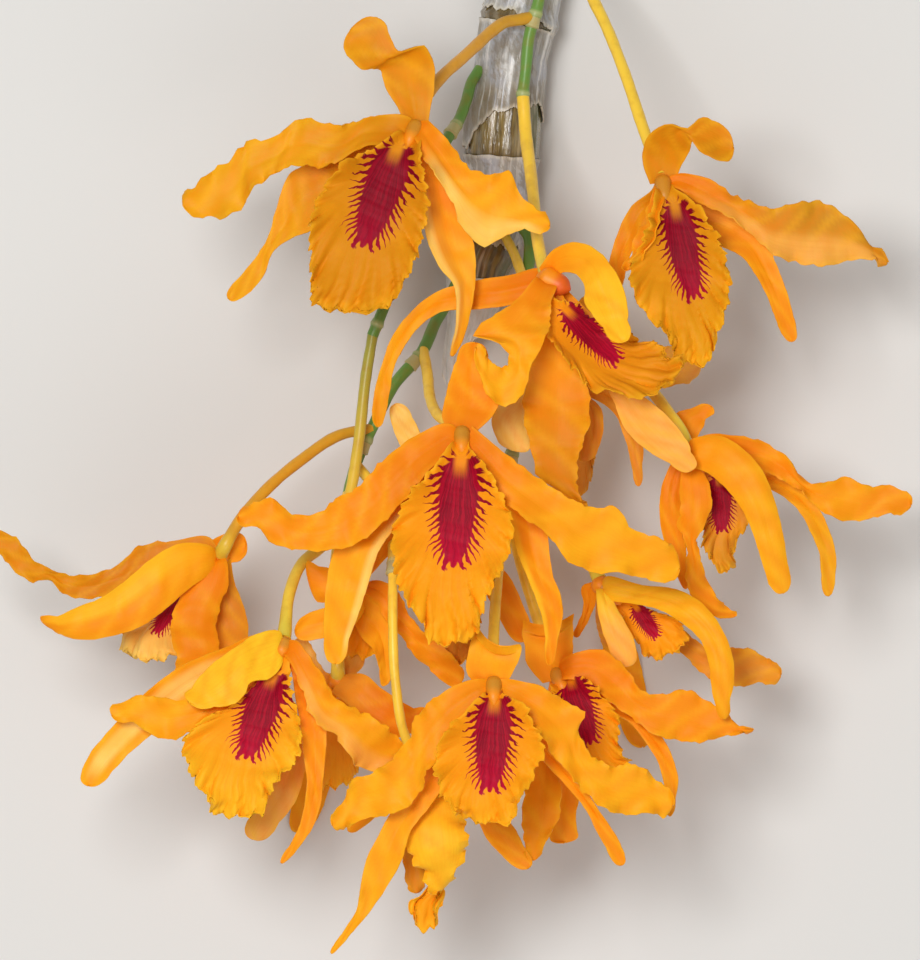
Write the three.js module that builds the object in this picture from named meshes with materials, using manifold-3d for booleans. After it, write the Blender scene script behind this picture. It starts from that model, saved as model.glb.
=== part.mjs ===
// A cut pendent cane of a dendrobium orchid, laid down on its side with its flower clusters.
// Millimetres. +Z points up from the surface it lies on, +Y runs along the cane towards its cut end,
// and the blooms lie at -Y and over the cane.
import * as THREE from "three";
import { mergeVertices } from "three/addons/utils/BufferGeometryUtils.js";
import Module from "manifold-3d";

const wasm = await Module();
wasm.setup();

// ---------- driving dimensions ----------
const BLADE = 0.7; // thickness of sepals, petals and lips
const REST_BLADE = 1.1; // thickness of the two sepals that the cluster rests on
const GAP = 0.3; // clearance between neighbouring pieces
const SIMPLER = 0.1; // detail below this is dropped after a join
const LEAST_SCRAP = 0.5; // mm3, smaller loose bits of a cut are dropped
const HEART_RADIUS = 2.3; // the fleshy middle that a bloom's blades grow from
const ROOT_REACH = 1.5; // a blade that starts further than this from the heart gets one more rung,
const ROOT_DEPTH = 0.4; // this far out from the heart's middle
const ROOT_WIDTH = 2.6; // and this wide
const COLUMN_LENGTH = 6.5;
const COLUMN_RADIUS = 1.4;
const STEM_SIDES = 6;
const STEM_STEP = 7; // length of one straight stretch of a stem
const CANE_SIDES = 12;
const CANE_HEIGHT = 6.4; // of the cane's axis over the surface
const SHEATH = 0.6; // thickness of a papery sheath
const SHEATH_PLAY = 0.1; // further than the clearance from the cane
const SHEATH_CREASE = 0.12;
const SHEATH_REACH = 125; // degrees that a sheath wraps to each side, from the top
const SHEATH_CELLS = 8;
const FLOOR_SIZE = 400;

const ORANGE = new THREE.MeshStandardMaterial({ color: 0xf9a01b, roughness: 0.5, metalness: 0 });
const DEEP_ORANGE = new THREE.MeshStandardMaterial({ color: 0xf38a16, roughness: 0.5, metalness: 0 });
const GREEN = new THREE.MeshStandardMaterial({ color: 0xa8b448, roughness: 0.5, metalness: 0 });
const YELLOW = new THREE.MeshStandardMaterial({ color: 0xe8c352, roughness: 0.5, metalness: 0 });
const OLIVE = new THREE.MeshStandardMaterial({ color: 0x6a6234, roughness: 0.4, metalness: 0 });
const PAPER = new THREE.MeshStandardMaterial({ color: 0xb9b0a4, roughness: 0.8, metalness: 0 });

// The cane: [x, y, radius] along its axis, from the cut end to the tip.
const CANE = [
  [13, 93, 6.5], [12.8, 91.8, 5.95], [11.8, 86, 5.85], [10.3, 79.4, 5.8], [9.95, 77.8, 6.5],
  [9.6, 76.2, 5.9], [8.75, 71.7, 5.6], [7.9, 65, 5.7], [7.5, 62, 6.1], [7.1, 56, 6.15],
  [7, 54.6, 6.1], [6.9, 53, 5.6], [6.3, 46.5, 5.5], [4.7, 41, 5.3], [4.1, 39.4, 5.7],
  [3.2, 37, 5.4], [2.8, 34.5, 4.9], [2.3, 32, 4.1], [1.6, 27.8, 3.1], [0.3, 24, 2.1],
  [-0.8, 20, 1.2], [-1, 16.8, 0.8],
];

// Papery sheaths: [y at the cut-end side, y at the tip side, how far the tip side stands off].
const SHEATHS = [
  [91, 78.8, 0.1], [76.6, 61.4, 0.2], [54.6, 40.4, 0.2], [34.2, 16, 0.4],
];

// Stems: [x, y, z] points from the root of each stem outwards, with the radius at both ends and, for
// a stalk of one bloom, the bloom that it ends at.
const RACEMES = {
  raceme_1: [
    { r: [1.05, 0.95], at: [
      [14.7, 89.6, 12.6], [14.1, 85.4, 14.8], [13.1, 80, 15.8], [11.6, 74.4, 16.2],
      [11.1, 69.4, 16.4], [10.5, 64.2, 16.8],
    ] },
    { to: "bloom_a", r: [1, 1.15], at: [
      [12.3, 78, 15.8], [10, 77.5, 17.4], [7.8, 77.1, 19.4], [5.3, 75.4, 22.6], [3.1, 73.3, 26],
      [0.8, 71.1, 30], [-4.2, 66.1, 37.2], [-7.4, 60.6, 41.4],
    ] },
    { to: "bloom_b", r: [0.95, 1.1], at: [
      [14.4, 87.6, 13.8], [19, 86.2, 16.6], [23, 79.5, 22.4], [27.5, 68.5, 31], [31.3, 57, 37.3],
      [33.4, 51.6, 39.4],
    ] },
    { to: "bloom_c", r: [1.05, 1.1], at: [
      [10.6, 64.6, 16.8], [11.1, 57.8, 19], [11.7, 53, 23.6], [12.3, 47.5, 30], [13, 40, 38.4],
      [13.8, 36, 42.6],
    ] },
  ],
  raceme_2: [
    { r: [0.95, 0.95], at: [
      [3.4, 69.4, 9.6], [2, 67.2, 11], [1.2, 64.4, 13], [-0.2, 60.6, 16], [-2.6, 56.7, 19.4],
      [-9.4, 42.5, 26], [-12.3, 30.3, 27], [-14.7, 24.2, 27],
    ] },
    { to: "bloom_f", r: [0.9, 1.1], at: [
      [-14.6, 24.6, 27], [-15.7, 18, 27.4], [-17.2, 5, 29], [-18.7, -3, 31], [-22.6, -10.6, 34],
      [-26.4, -13.9, 37.5], [-28.4, -18.6, 41.5], [-29.2, -25, 45.2],
    ] },
  ],
  raceme_3: [
    { r: [1.05, 0.95], at: [
      [-0.6, 33, 9.4], [-2.2, 30, 12.6], [-4.2, 26.4, 16.4], [-6.3, 21.7, 20], [-11.2, 15.8, 22.5],
      [-14.3, 9.7, 23.5], [-17.7, 2, 24.5], [-18.8, -2.5, 25],
    ] },
    { to: "bloom_d", r: [0.9, 1.05], at: [
      [-6.2, 21.9, 20], [-5.5, 18, 25.6], [-5, 13.8, 34.5], [-3.6, 10.8, 44], [-0.9, 8.6, 51],
    ] },
    { to: "bloom_e", r: [0.9, 1.15], at: [
      [-14.9, 8.6, 23.8], [-20, 7.6, 26], [-26.7, 3.3, 29], [-33.3, -2.5, 33], [-37.6, -8, 36.5],
      [-39.4, -11.2, 37.4],
    ] },
    { to: "bloom_l", r: [0.95, 1.05], at: [[-18.8, -2.3, 25], [-18.6, -8, 30], [-17.2, -15.5, 36.2]] },
    { to: "bloom_k", r: [1, 1.15], at: [
      [-18.8, -2.5, 25], [-20.6, -12, 27.5], [-21, -22, 32.5], [-20.5, -29, 38],
      [-20.4, -31.6, 38.6],
    ] },
    { to: "bloom_m", r: [0.85, 0.9], at: [
      [-17.4, 2.6, 24.5], [-12.6, -3.5, 31], [-11.3, -10.5, 41], [-11.2, -16, 46],
      [-11.2, -24, 49], [-10.7, -34, 50], [-9, -43, 49.4], [-6.4, -47.4, 47.2],
    ] },
  ],
  raceme_4: [
    { r: [1.05, 1], at: [
      [9.2, 44, 11.4], [11.6, 41, 13.6], [11.7, 37.2, 15.6], [10.9, 33, 17.4], [10.4, 28, 20],
      [10.2, 20, 24], [9.7, 11.5, 26.8], [8.7, 4.2, 28], [7.5, -3.3, 29],
    ] },
    { to: "bloom_g", r: [0.9, 1.05], at: [
      [7.6, -3, 29], [6.9, -9.6, 35], [6.3, -15.8, 43.5], [5.7, -24, 50], [5.5, -31.6, 54.4],
    ] },
    { to: "bloom_h", r: [0.95, 1.05], at: [
      [7.5, -3.3, 29], [10.2, -14, 29.4], [13.2, -24, 31], [15.5, -30.4, 34.2],
    ] },
    { to: "bloom_i", r: [0.95, 1.15], at: [
      [8, -0.6, 28.4], [13, -6.5, 29.5], [18.6, -11.6, 32], [22.4, -14.8, 33.4],
    ] },
    { to: "bloom_j", r: [0.95, 1.15], at: [
      [10.7, 30.4, 18.8], [15.6, 28.4, 21.2], [23, 23, 26], [30.4, 16.8, 34.5], [34.6, 11.6, 38.8],
      [37.2, 7.4, 40.4],
    ] },
    { to: "bloom_o", r: [0.9, 1.05], at: [[7.7, -2.3, 28.8], [5.4, -8, 32], [3.9, -10.8, 34.8]] },
  ],
  raceme_5: [
    { to: "bloom_n", r: [0.8, 1], at: [
      [7.4, 41.6, 10.8], [9, 38.4, 15.2], [10.4, 34.6, 19.8], [12.2, 29.6, 23.6], [15.4, 23.6, 27],
      [18.6, 17.8, 28.8],
    ] },
  ],
};

// Blooms. heart is where the blades meet, face the way the bloom looks, and lipward the way its lip
// points. A blade is a list of rungs from base to tip, each running from the blade's left edge to
// its right edge: [left x, left y, right x, right y, middle z, right z minus left z].
// cup bulges the middle away from the viewer, wave lifts the edges by turns, and bow rounds the tip.
const BLOOMS = {
  bloom_a: {
    heart: [-7.6, 58.6, 44], face: [-0.1, 0, 1], lipward: [-0.35, -1, 0.2],
    blades: [
      { kind: "dorsal", cup: 0.12, wave: 0, bow: 1.2, rungs: [
        [-9.4, 59.5, -5.4, 58.8, 44], [-10.4, 62.2, -4.9, 62.2, 43.8],
        [-12.3, 65.1, -4.3, 65.3, 44], [-13.3, 68.3, -4.6, 70.2, 45, 0.8],
        [-14.2, 68.6, -6, 72.4, 46.5, 1], [-15, 68.5, -10.3, 71.5, 47.6, 0.6],
        [-16.4, 68.4, -11.6, 73.8, 48, -0.8], [-17.9, 69.9, -12.6, 76.3, 47.8, -1],
        [-18.7, 72.2, -15.4, 76.6, 47.2],
      ] },
      { kind: "petal", cup: 0.12, wave: 0.7, bow: 0.8, rungs: [
        [-9.2, 56.2, -8.4, 60.4, 45, -1], [-15.4, 55.6, -14.2, 60.9, 46.4, -1.6],
        [-22.2, 52.4, -20.4, 59, 47.4, -1.2], [-28.1, 52.2, -26.9, 60.3, 47.6, -1],
        [-31.7, 50.7, -30.5, 57.2, 47.2, -1.4], [-34.5, 48.3, -35.8, 56.4, 46.8, -1],
        [-36.4, 45.8, -38, 53.4, 46.2, -1.4], [-38.8, 43.8, -41.1, 52, 45.6, -0.4],
        [-42.3, 44, -44.1, 48.9, 45], [-44.7, 44.9, -45.7, 47.1, 44.6],
      ] },
      { kind: "sepal", cup: 0.15, wave: 0, bow: 0.8, rungs: [
        [-8.6, 54.6, -11.6, 57.8, 43], [-13.6, 49.4, -18, 56.4, 42.4],
        [-20, 45.4, -25, 53, 42.4, -1], [-25, 41.6, -28.9, 50.5, 42.6, -1.4],
        [-28.5, 40.2, -30.9, 44.6, 42.2, -0.8], [-31.3, 38, -32.2, 40.3, 41.4],
        [-32.6, 34.6, -34.3, 37, 40.6], [-34.5, 32, -36.6, 34.2, 39.8],
        [-37.4, 30.3, -38.5, 31.5, 39],
      ] },
      { kind: "petal", cup: 0.15, wave: 0.8, bow: 0.8, rungs: [
        [-5.8, 60.2, -7.6, 57, 45.4, 1], [-3.4, 57.8, -6.3, 54.4, 47, 2],
        [-0.8, 55.4, -4.2, 50.6, 48.2, 2.4], [1.8, 51.6, -1.4, 46.8, 49, 1.4],
        [5.8, 51, 0.2, 42.4, 49.2, 0.6], [8.5, 51.2, 4.2, 38.9, 49, -0.6],
        [10, 47.7, 7.7, 40.8, 48.6], [12.8, 45.1, 10.7, 41.7, 48.2],
        [14.3, 43.4, 13.7, 41.9, 47.8],
      ] },
      { kind: "sepal", cup: 0.18, wave: 0, bow: 0.8, rungs: [
        [-4.8, 57, -8.4, 56, 42.6], [-1.8, 51.6, -6.8, 51.8, 43.2, 1],
        [0.2, 46.4, -6.4, 46, 44, 1.6], [1.6, 42, -5.6, 40.6, 44.8, 1.6],
        [2.5, 38, -3.6, 35.8, 45.4, 1], [2.6, 33.5, -1, 32.4, 45.6, 0.6], [2, 29, -0.6, 28.6, 45],
        [0.9, 24.6, -0.9, 24.4, 44], [-0.3, 21.8, -1.6, 21.5, 43.2],
      ] },
      { kind: "lip", cup: 0.5, wave: 0.9, bow: 1.6, rungs: [
        [-6.4, 57.2, -10.4, 57.8, 46], [-6.7, 53.4, -14.2, 55.4, 47.6],
        [-5.7, 49.6, -19.4, 52.4, 49], [-5.4, 45, -23.2, 48, 50], [-6.3, 40.6, -24.9, 42.6, 50.6],
        [-7.6, 36.4, -24.9, 37, 51], [-9.6, 32.6, -24.6, 32, 51], [-13.3, 29.6, -22.6, 29.6, 50.6],
      ] },
    ],
  },
  bloom_b: {
    heart: [34, 49.4, 41], face: [-0.1, 0, 1], lipward: [0.15, -1, 0.2],
    blades: [
      { kind: "dorsal", cup: 0.25, wave: 0, bow: 1, rungs: [
        [31.8, 49.4, 36, 49.8, 41], [30.6, 52.6, 36.9, 52.4, 41.6], [30.7, 55.6, 38.3, 54.8, 43.4],
        [32.2, 58.2, 38.6, 56.3, 45.4], [35.2, 59.3, 38.7, 56.7, 46.6, -0.6],
        [38, 58.6, 38.9, 56.2, 46.8], [39.8, 60.3, 39.9, 54.9, 46.6, 0.8],
        [42, 60.1, 42.2, 53.7, 46.2, 1.2], [44.6, 58.2, 44.6, 53.4, 45.4, 0.8],
      ] },
      { kind: "sepal", cup: 0.2, wave: 0, bow: 0.8, rungs: [
        [34.4, 47.6, 32, 48.4, 39.4], [32.2, 45, 28.7, 45.8, 38.6, -1],
        [30, 40.6, 26.2, 40.8, 38, -1.4], [28, 36.4, 25, 36.4, 37], [26.9, 32.6, 25.2, 32.8, 36],
      ] },
      { kind: "petal", cup: 0.3, wave: 0.4, bow: 0.6, rungs: [
        [34.4, 48, 32.4, 48.6, 42.6, -1], [33.3, 43.8, 30.8, 44.2, 44.6, -2.4],
        [32.3, 40.2, 29.4, 40.2, 45.8, -2.6], [30.8, 37.6, 28, 37, 46, -1.6],
        [29.2, 35.6, 27.4, 35.6, 45.6],
      ] },
      { kind: "petal", cup: 0.12, wave: 0.8, bow: 1.6, rungs: [
        [36.2, 51.2, 35, 48.8, 41.6], [41.6, 50.1, 39.6, 46.6, 42.4, 1],
        [45.8, 47.7, 44.8, 43.8, 42.8, 1], [49.2, 46.2, 48.9, 40.8, 43],
        [52.4, 45.3, 52.2, 37.8, 43, -0.6], [56.3, 46.4, 56.3, 36.2, 42.6, -1],
        [61.4, 46.1, 61.7, 35.9, 42, -1], [65.4, 43.2, 66.2, 36.8, 41.2, -0.6],
        [68.6, 39.6, 69.2, 36.8, 40.4], [69.9, 37.9, 70.1, 36.8, 40],
      ] },
      { kind: "sepal", cup: 0.2, wave: 0, bow: 0.9, rungs: [
        [37, 48.4, 34.8, 46.6, 39], [42.4, 46, 39, 42, 38.8, 1.2],
        [47.7, 44.3, 43.4, 39.2, 39.2, 1.6], [50.8, 40.9, 47, 37.4, 39.8, 1.4],
        [52.9, 36, 49.8, 33.6, 40.4, 1], [54.6, 31.5, 51.6, 30, 40.4],
        [55.7, 27.4, 53, 26.4, 39.6], [56, 24.4, 54.5, 24, 39],
      ] },
      { kind: "lip", cup: 0.5, wave: 0.9, bow: 1.6, rungs: [
        [36, 48.6, 32.8, 48, 43.4], [39.4, 45.6, 31.8, 44.6, 45], [42.4, 41.6, 30.9, 40.6, 46.4],
        [44.3, 37.2, 28.4, 36, 47.2], [45, 33.2, 28.6, 32, 47.8], [44.3, 28, 31.2, 27.4, 48.4],
        [42.8, 23.6, 35, 23.2, 48.6], [42, 21, 35.6, 20.8, 48.4],
      ] },
    ],
  },
  bloom_c: {
    heart: [14.6, 33.4, 46], face: [0.6, -0.1, 0.8], lipward: [0.9, -0.5, 0.1],
    blades: [
      { kind: "dorsal", cup: 0.3, wave: 0, bow: 1.2, rungs: [
        [13.2, 35.4, 14.6, 32.6, 45.6], [15.6, 38.4, 17.2, 34.6, 47.6], [19.4, 39.6, 19.6, 34, 50],
        [23.2, 37.9, 20.8, 31.9, 52], [26, 34.4, 20.6, 30, 53.2], [27.6, 30.3, 21.8, 27.8, 54],
        [27.9, 26.6, 23.8, 25.4, 54], [27.5, 24.4, 25.6, 24, 53.6],
      ] },
      { kind: "sepal", cup: 0.2, wave: 0, bow: 1, rungs: [
        [14.2, 31, 13.6, 35.2, 44.4], [8.3, 29.2, 8.4, 34.2, 43], [2.6, 28.5, 2.6, 33.3, 41.8],
        [-3.3, 28, -4.3, 31.2, 41], [-6.6, 25.8, -8.5, 27.8, 40.6],
        [-9.1, 22.6, -11.5, 23.6, 40.4], [-11, 18.8, -13.2, 18.8, 40.2],
        [-11.9, 13.9, -14.4, 14, 40], [-13, 9.9, -14.4, 10.3, 39.6],
      ] },
      { kind: "petal", cup: 0.15, wave: 0.5, bow: 0.6, rungs: [
        [16.2, 32.6, 12.6, 33.6, 48.4], [15.2, 29.6, 9.6, 30.4, 51], [15, 26.6, 4.6, 26.4, 53, -1],
        [14.4, 23.9, 2.2, 24.2, 53.8, -1], [13.3, 21.6, 6.4, 22.8, 54], [12, 19.6, 7.9, 21, 53.8],
        [11.4, 16.6, 8, 19.4, 53.6], [9.8, 13.6, 7.2, 18.8, 53.8], [7.6, 12.1, 6.1, 19, 54.2],
        [5, 13.7, 5.1, 19.8, 54.6], [3.4, 17.2, 4.3, 20.9, 55], [2.6, 20.3, 3.3, 22.3, 55],
      ] },
      { kind: "petal", cup: 0.1, wave: 0.7, bow: 1, rungs: [
        [17.4, 30.4, 13.8, 31, 46.8], [18.8, 25.6, 13, 26, 46], [20, 20.6, 12, 20.8, 45.4, 0.8],
        [21.2, 15.8, 10.7, 14.4, 45, 1], [21.7, 9.8, 10.7, 9.8, 45, 0.6], [20.2, 5.4, 12, 4.6, 45],
        [19.5, 1.2, 12.8, 1.2, 44.6], [20, -2.6, 15.6, -1.6, 44], [20.5, -3.9, 18.4, -3.4, 43.4],
      ] },
      { kind: "sepal", cup: 0.15, wave: 0, bow: 1, rungs: [
        [17.6, 32, 14.8, 30, 44.8], [24.6, 24.6, 20.6, 21.4, 45], [30.2, 14.4, 25.6, 13.2, 46],
        [33.9, 11.3, 27.4, 8.7, 46.4], [37, 7.8, 30.9, 5.2, 46.6], [38.5, 4.7, 35, 2.8, 46.4],
        [38.4, 2.7, 37.1, 2.2, 46],
      ] },
      { kind: "lip", cup: 0.25, wave: 0.8, bow: 1.4, rungs: [
        [15.4, 30.4, 14, 28, 49.4, 1], [18.8, 28.6, 15.2, 22.8, 50.6, 4],
        [23, 27, 18.2, 18.6, 50.6, 6.4], [27, 24.7, 22.1, 15.9, 51, 6.8],
        [30.1, 23.7, 26.6, 13.9, 51.2, 6.4], [33.4, 22.2, 31, 14, 51.4, 4.6],
        [35, 20.2, 33.8, 15.6, 51.4, 2.4], [35.6, 19, 35, 17.2, 51.2, 1],
      ] },
    ],
  },
  bloom_d: {
    heart: [0.3, 7.4, 54.6], face: [0, 0, 1], lipward: [0, -1, 0.25],
    blades: [
      { kind: "dorsal", cup: 0.15, wave: 0, bow: 0.8, rungs: [
        [-1.8, 7.8, 2.4, 7.8, 54.4], [-3, 10.6, 5.2, 10.4, 54], [-2.6, 13, 6.4, 12.6, 53.4],
        [-1.9, 16, 5.6, 15.8, 52.4], [-0.6, 19.8, 4.6, 19, 51.4], [1.2, 22.2, 3.7, 21.7, 50.6],
      ] },
      { kind: "petal", cup: 0.12, wave: 0.7, bow: 1, rungs: [
        [-0.6, 5.6, -1.4, 9.2, 55.4, -0.6], [-4.6, 2, -7.3, 7.5, 56.6, -1],
        [-9, -2.8, -13.5, 2.5, 57.2, -1.2], [-13.2, -7.6, -17.2, -1.2, 57.2, -1],
        [-17.4, -10.6, -20.6, -3.2, 56.8, -1], [-22, -11.7, -23.7, -5.5, 56],
        [-26.8, -11.6, -27.8, -5.6, 55.2], [-31, -10.5, -31.8, -3, 54.4],
        [-34, -7.8, -34.8, -4.2, 53.8], [-35.7, -6.9, -35.9, -5.1, 53.4],
      ] },
      { kind: "sepal", cup: 0.2, wave: 0, bow: 1.2, rungs: [
        [-0.8, 4.6, -3.2, 6.6, 53], [-6.2, -2.6, -11.4, 0.6, 52.6], [-10.4, -7.4, -17.4, -6, 52.8],
        [-13.6, -12, -21, -11.8, 53, -0.8], [-15.2, -17, -22.2, -17, 52.4, -0.8],
        [-16.8, -22, -22.6, -22.4, 51.6], [-18.5, -26.4, -22.6, -26.6, 50.6],
        [-19.8, -29.3, -21.7, -29.2, 50],
      ] },
      { kind: "petal", cup: 0.12, wave: 0.8, bow: 1, rungs: [
        [2, 9, 1, 5.6, 55.4, 0.6], [5.4, 6.2, 3.4, 1.4, 57, 1], [9.5, 2.8, 6.9, -3.2, 58, 1.2],
        [14.1, -0.3, 11, -6.6, 58, 1], [18.7, -3.3, 15, -9.4, 57.4, 0.6],
        [22.8, -4.7, 17.9, -13.4, 56.6], [25.8, -4.4, 22, -15.3, 56],
        [28.8, -8.2, 26.8, -15.4, 55.2], [33.4, -9.9, 31, -16.4, 54.2],
        [35.6, -13.2, 35.2, -15.4, 53.4],
      ] },
      { kind: "sepal", cup: 0.2, wave: 0, bow: 1, rungs: [
        [3.8, 6.4, 1.4, 4.6, 53], [10.6, 0, 6, -2.2, 52.2], [14.2, -7, 8.6, -8.2, 52.4, 0.8],
        [14.9, -12, 9.6, -12.2, 53, 1], [15.4, -15.6, 11, -15.6, 53, 0.8],
        [16.8, -19.4, 12.4, -19.2, 52.2], [17.1, -22.8, 13.6, -22.6, 51.2],
        [16.3, -26.4, 14.2, -26.2, 50.2], [15.4, -29.8, 14.4, -29.5, 49.4],
      ] },
      { kind: "lip", cup: 0.42, wave: 1, bow: 1.6, rungs: [
        [1.6, 5.4, -1.6, 5.4, 57.2], [4, 2, -4.8, 1.6, 59.2], [6.8, -2.2, -8.6, -3.2, 61],
        [8.7, -7, -11.2, -8, 62], [8.3, -11.4, -11.1, -12.8, 62.8], [6.4, -16, -10.3, -17, 63.4],
        [4.3, -20, -8.2, -21.2, 63.6], [3.2, -23.2, -6, -23.9, 63],
        [1.6, -25.5, -4.2, -25.7, 62.4],
      ] },
    ],
  },
  bloom_e: {
    heart: [-40.6, -13.4, 35], face: [-0.5, -0.8, -0.2], lipward: [-0.5, -0.5, -0.5],
    blades: [
      { kind: "dorsal", cup: 0.25, wave: 0, bow: 0.8, rungs: [
        [-41.4, -10, -39.4, -14, 34.6], [-39.2, -8.9, -37.8, -13.8, 34.6],
        [-37, -9.1, -36.4, -12.8, 34.2],
      ] },
      { kind: "petal", cup: 0.15, wave: 0.5, bow: 1, rungs: [
        [-42.4, -13.2, -41.4, -10, 34], [-48, -15.6, -48, -10.1, 33.4, -1],
        [-53.7, -17.9, -53.7, -11.2, 32.8, -1], [-58.8, -19.3, -57.9, -14.5, 32.4],
        [-63, -19.9, -62.3, -15.9, 32.2], [-66.5, -19, -66.1, -15.8, 32.2],
        [-68.9, -16.7, -68.5, -15, 32.6], [-71.6, -17.1, -71.2, -13.5, 33.2],
        [-74.4, -15.4, -73, -11.3, 33.8], [-76.6, -12.8, -75, -9.3, 34],
        [-77.7, -11.3, -77.1, -9, 34],
      ] },
      { kind: "sepal", cup: -0.2, wave: 0, bow: 1.2, rungs: [
        [-41.4, -15.4, -41.4, -11.2, 37.4], [-45.4, -18.2, -46.6, -10.6, 39.4],
        [-49.3, -21.6, -51.6, -13.2, 40.4], [-53.4, -24.5, -55.6, -16.6, 40.8],
        [-58, -26, -59.8, -19.6, 40.6], [-62.6, -26.7, -63.8, -21.2, 39.8],
        [-66.6, -25.8, -67.3, -22.8, 38.8], [-68.5, -24.3, -69, -23.4, 38],
      ] },
      { kind: "petal", cup: -0.2, wave: 0.3, bow: 1.2, rungs: [
        [-39.2, -13, -42, -14.6, 36.8], [-38.7, -17, -45.8, -18.2, 37.8],
        [-40.2, -21.2, -48, -22.4, 38.2], [-40.8, -25, -48.3, -26.2, 38],
        [-40.2, -28.6, -47.4, -29.6, 37.6], [-42, -32.6, -47.6, -33, 37],
        [-44, -34.8, -46.2, -34.8, 36.6],
      ] },
      { kind: "sepal", cup: -0.2, wave: 0, bow: 1, rungs: [
        [-38.4, -13, -40.6, -14.4, 34.6], [-37.8, -17, -41, -18.4, 34],
        [-36.2, -21.2, -41, -22.4, 33.4], [-35.5, -25.2, -40.8, -26.2, 32.8],
        [-36.6, -29.2, -39.8, -29.8, 32],
      ] },
      { kind: "lip", cup: -0.3, wave: 0.8, bow: 1.2, rungs: [
        [-42, -16, -43.6, -14.6, 33.6], [-44.8, -18.8, -46.6, -17.2, 33.2, -3],
        [-47, -22.6, -50.6, -21.4, 33, -6], [-47.6, -26.3, -54.2, -24.2, 33, -7],
        [-48.2, -28.8, -56.6, -25.6, 32.6, -6], [-50.2, -29.4, -55.7, -28.2, 32.6, -3],
      ] },
    ],
  },
  bloom_f: {
    heart: [-29.4, -27.8, 48], face: [-0.2, -0.2, 1], lipward: [-0.3, -1, 0.2],
    blades: [
      { kind: "dorsal", cup: 0.25, wave: 0, bow: 1, rungs: [
        [-29.6, -30.4, -29.8, -25.4, 49.6], [-31.6, -33, -33.8, -25.6, 51.8],
        [-34.9, -33.7, -37.4, -27.9, 53.2], [-35.9, -35.8, -40.5, -30, 54],
        [-38, -37.4, -43.2, -32.6, 54.2], [-40.9, -37.7, -44.6, -34.6, 53.8],
        [-42.9, -37.4, -44.8, -36, 53.4],
      ] },
      { kind: "sepal", cup: 0.2, wave: 0, bow: 1.4, rungs: [
        [-30.2, -30, -32, -26, 47.4], [-37.4, -33.4, -39.2, -28, 47.4],
        [-43.4, -36.4, -46.2, -30.9, 47.4], [-48.2, -40, -51.4, -34.6, 47],
        [-52, -42.9, -55.9, -39, 46.6], [-55.4, -45.8, -59.4, -42.8, 46.4],
        [-58, -48.6, -62.2, -46.6, 46], [-59.7, -50, -62.8, -49.3, 45.6],
      ] },
      { kind: "petal", cup: 0.15, wave: 0.6, bow: 1, rungs: [
        [-30.6, -32.6, -31.4, -29.6, 49], [-37.6, -38.2, -38, -34.6, 50.2],
        [-42.2, -39.9, -42.2, -37, 50.6], [-44.9, -41.8, -45.6, -36.7, 50.8],
        [-48, -43.3, -49.7, -36.3, 50.8], [-51.7, -42.1, -53.2, -35.9, 50.4],
        [-54.4, -40.4, -55.8, -36.9, 49.8], [-56.6, -39.4, -57.2, -38.4, 49.4],
      ] },
      { kind: "petal", cup: 0.12, wave: 0.8, bow: 1, rungs: [
        [-27.6, -26.6, -29, -29.4, 49.8], [-23.6, -31.6, -26.4, -34.6, 51, 0.6],
        [-20.2, -36.6, -23.8, -40.6, 51.2, 0.8], [-17.7, -38, -20.4, -42.8, 51],
        [-15.1, -39.2, -19, -45.2, 50.4], [-12.2, -41.2, -16.2, -48.2, 49.2],
        [-9.4, -43.9, -12.4, -48.2, 47.8], [-8.4, -45, -9.8, -46.6, 46.6],
      ] },
      { kind: "sepal", cup: 0.2, wave: 0, bow: 0.8, rungs: [
        [-26.6, -29.4, -28.8, -30.4, 48], [-24, -35.6, -27.4, -36.4, 48.8],
        [-22.3, -41, -26.5, -41.8, 49.4], [-22.4, -45.6, -26, -46.2, 49.6],
        [-22.8, -50, -25.5, -50.2, 49.6], [-23.2, -54, -25.9, -54, 49.4],
        [-24.6, -58, -26.7, -57.4, 49], [-27.2, -61.6, -28.2, -60.6, 48.4],
        [-28.9, -63.3, -29.5, -62.8, 48],
      ] },
      { kind: "lip", cup: 0.4, wave: 1, bow: 1.4, rungs: [
        [-28.4, -30.6, -32, -31.4, 50], [-28, -34.8, -36.6, -36.2, 51.6],
        [-26.9, -39.4, -42.8, -40.2, 53], [-26.4, -43.6, -46.2, -43.6, 53.8],
        [-27.6, -47.2, -45.2, -47.6, 54.2], [-30.4, -49.8, -43.4, -51.2, 54.4],
        [-31.8, -52.6, -41.6, -53.2, 54], [-34, -54.4, -40, -54.9, 53.4],
      ] },
    ],
  },
  bloom_g: {
    heart: [5.6, -34.2, 57], face: [0, 0, 1], lipward: [0, -1, 0.25],
    blades: [
      { kind: "dorsal", cup: 0.12, wave: 0, bow: -2, rungs: [
        [3.4, -34.6, 7.6, -34, 57], [1, -31.8, 9, -31.6, 57.6], [1.3, -29.2, 9.8, -29.8, 58.2],
        [1.8, -26.8, 10.2, -28.2, 58.2], [3, -25, 9.8, -27.6, 57.4],
      ] },
      { kind: "petal", cup: 0.12, wave: 0.8, bow: 1, rungs: [
        [4.6, -36.4, 3.2, -33, 58], [0.4, -40.7, -3.8, -35.8, 58.6, -0.6],
        [-2.7, -44.6, -7.2, -39.4, 58.8, -1], [-5.3, -48.4, -8.8, -43.2, 58.6, -0.8],
        [-6.8, -52.2, -12.4, -47.2, 58], [-10, -55, -15.8, -49.2, 57.2],
        [-14.2, -56.1, -18.2, -50, 56.4], [-17.8, -57, -19.2, -53.2, 55.6],
        [-20, -57.3, -20.5, -56.2, 55.2],
      ] },
      { kind: "sepal", cup: 0.2, wave: 0, bow: 1, rungs: [
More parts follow.
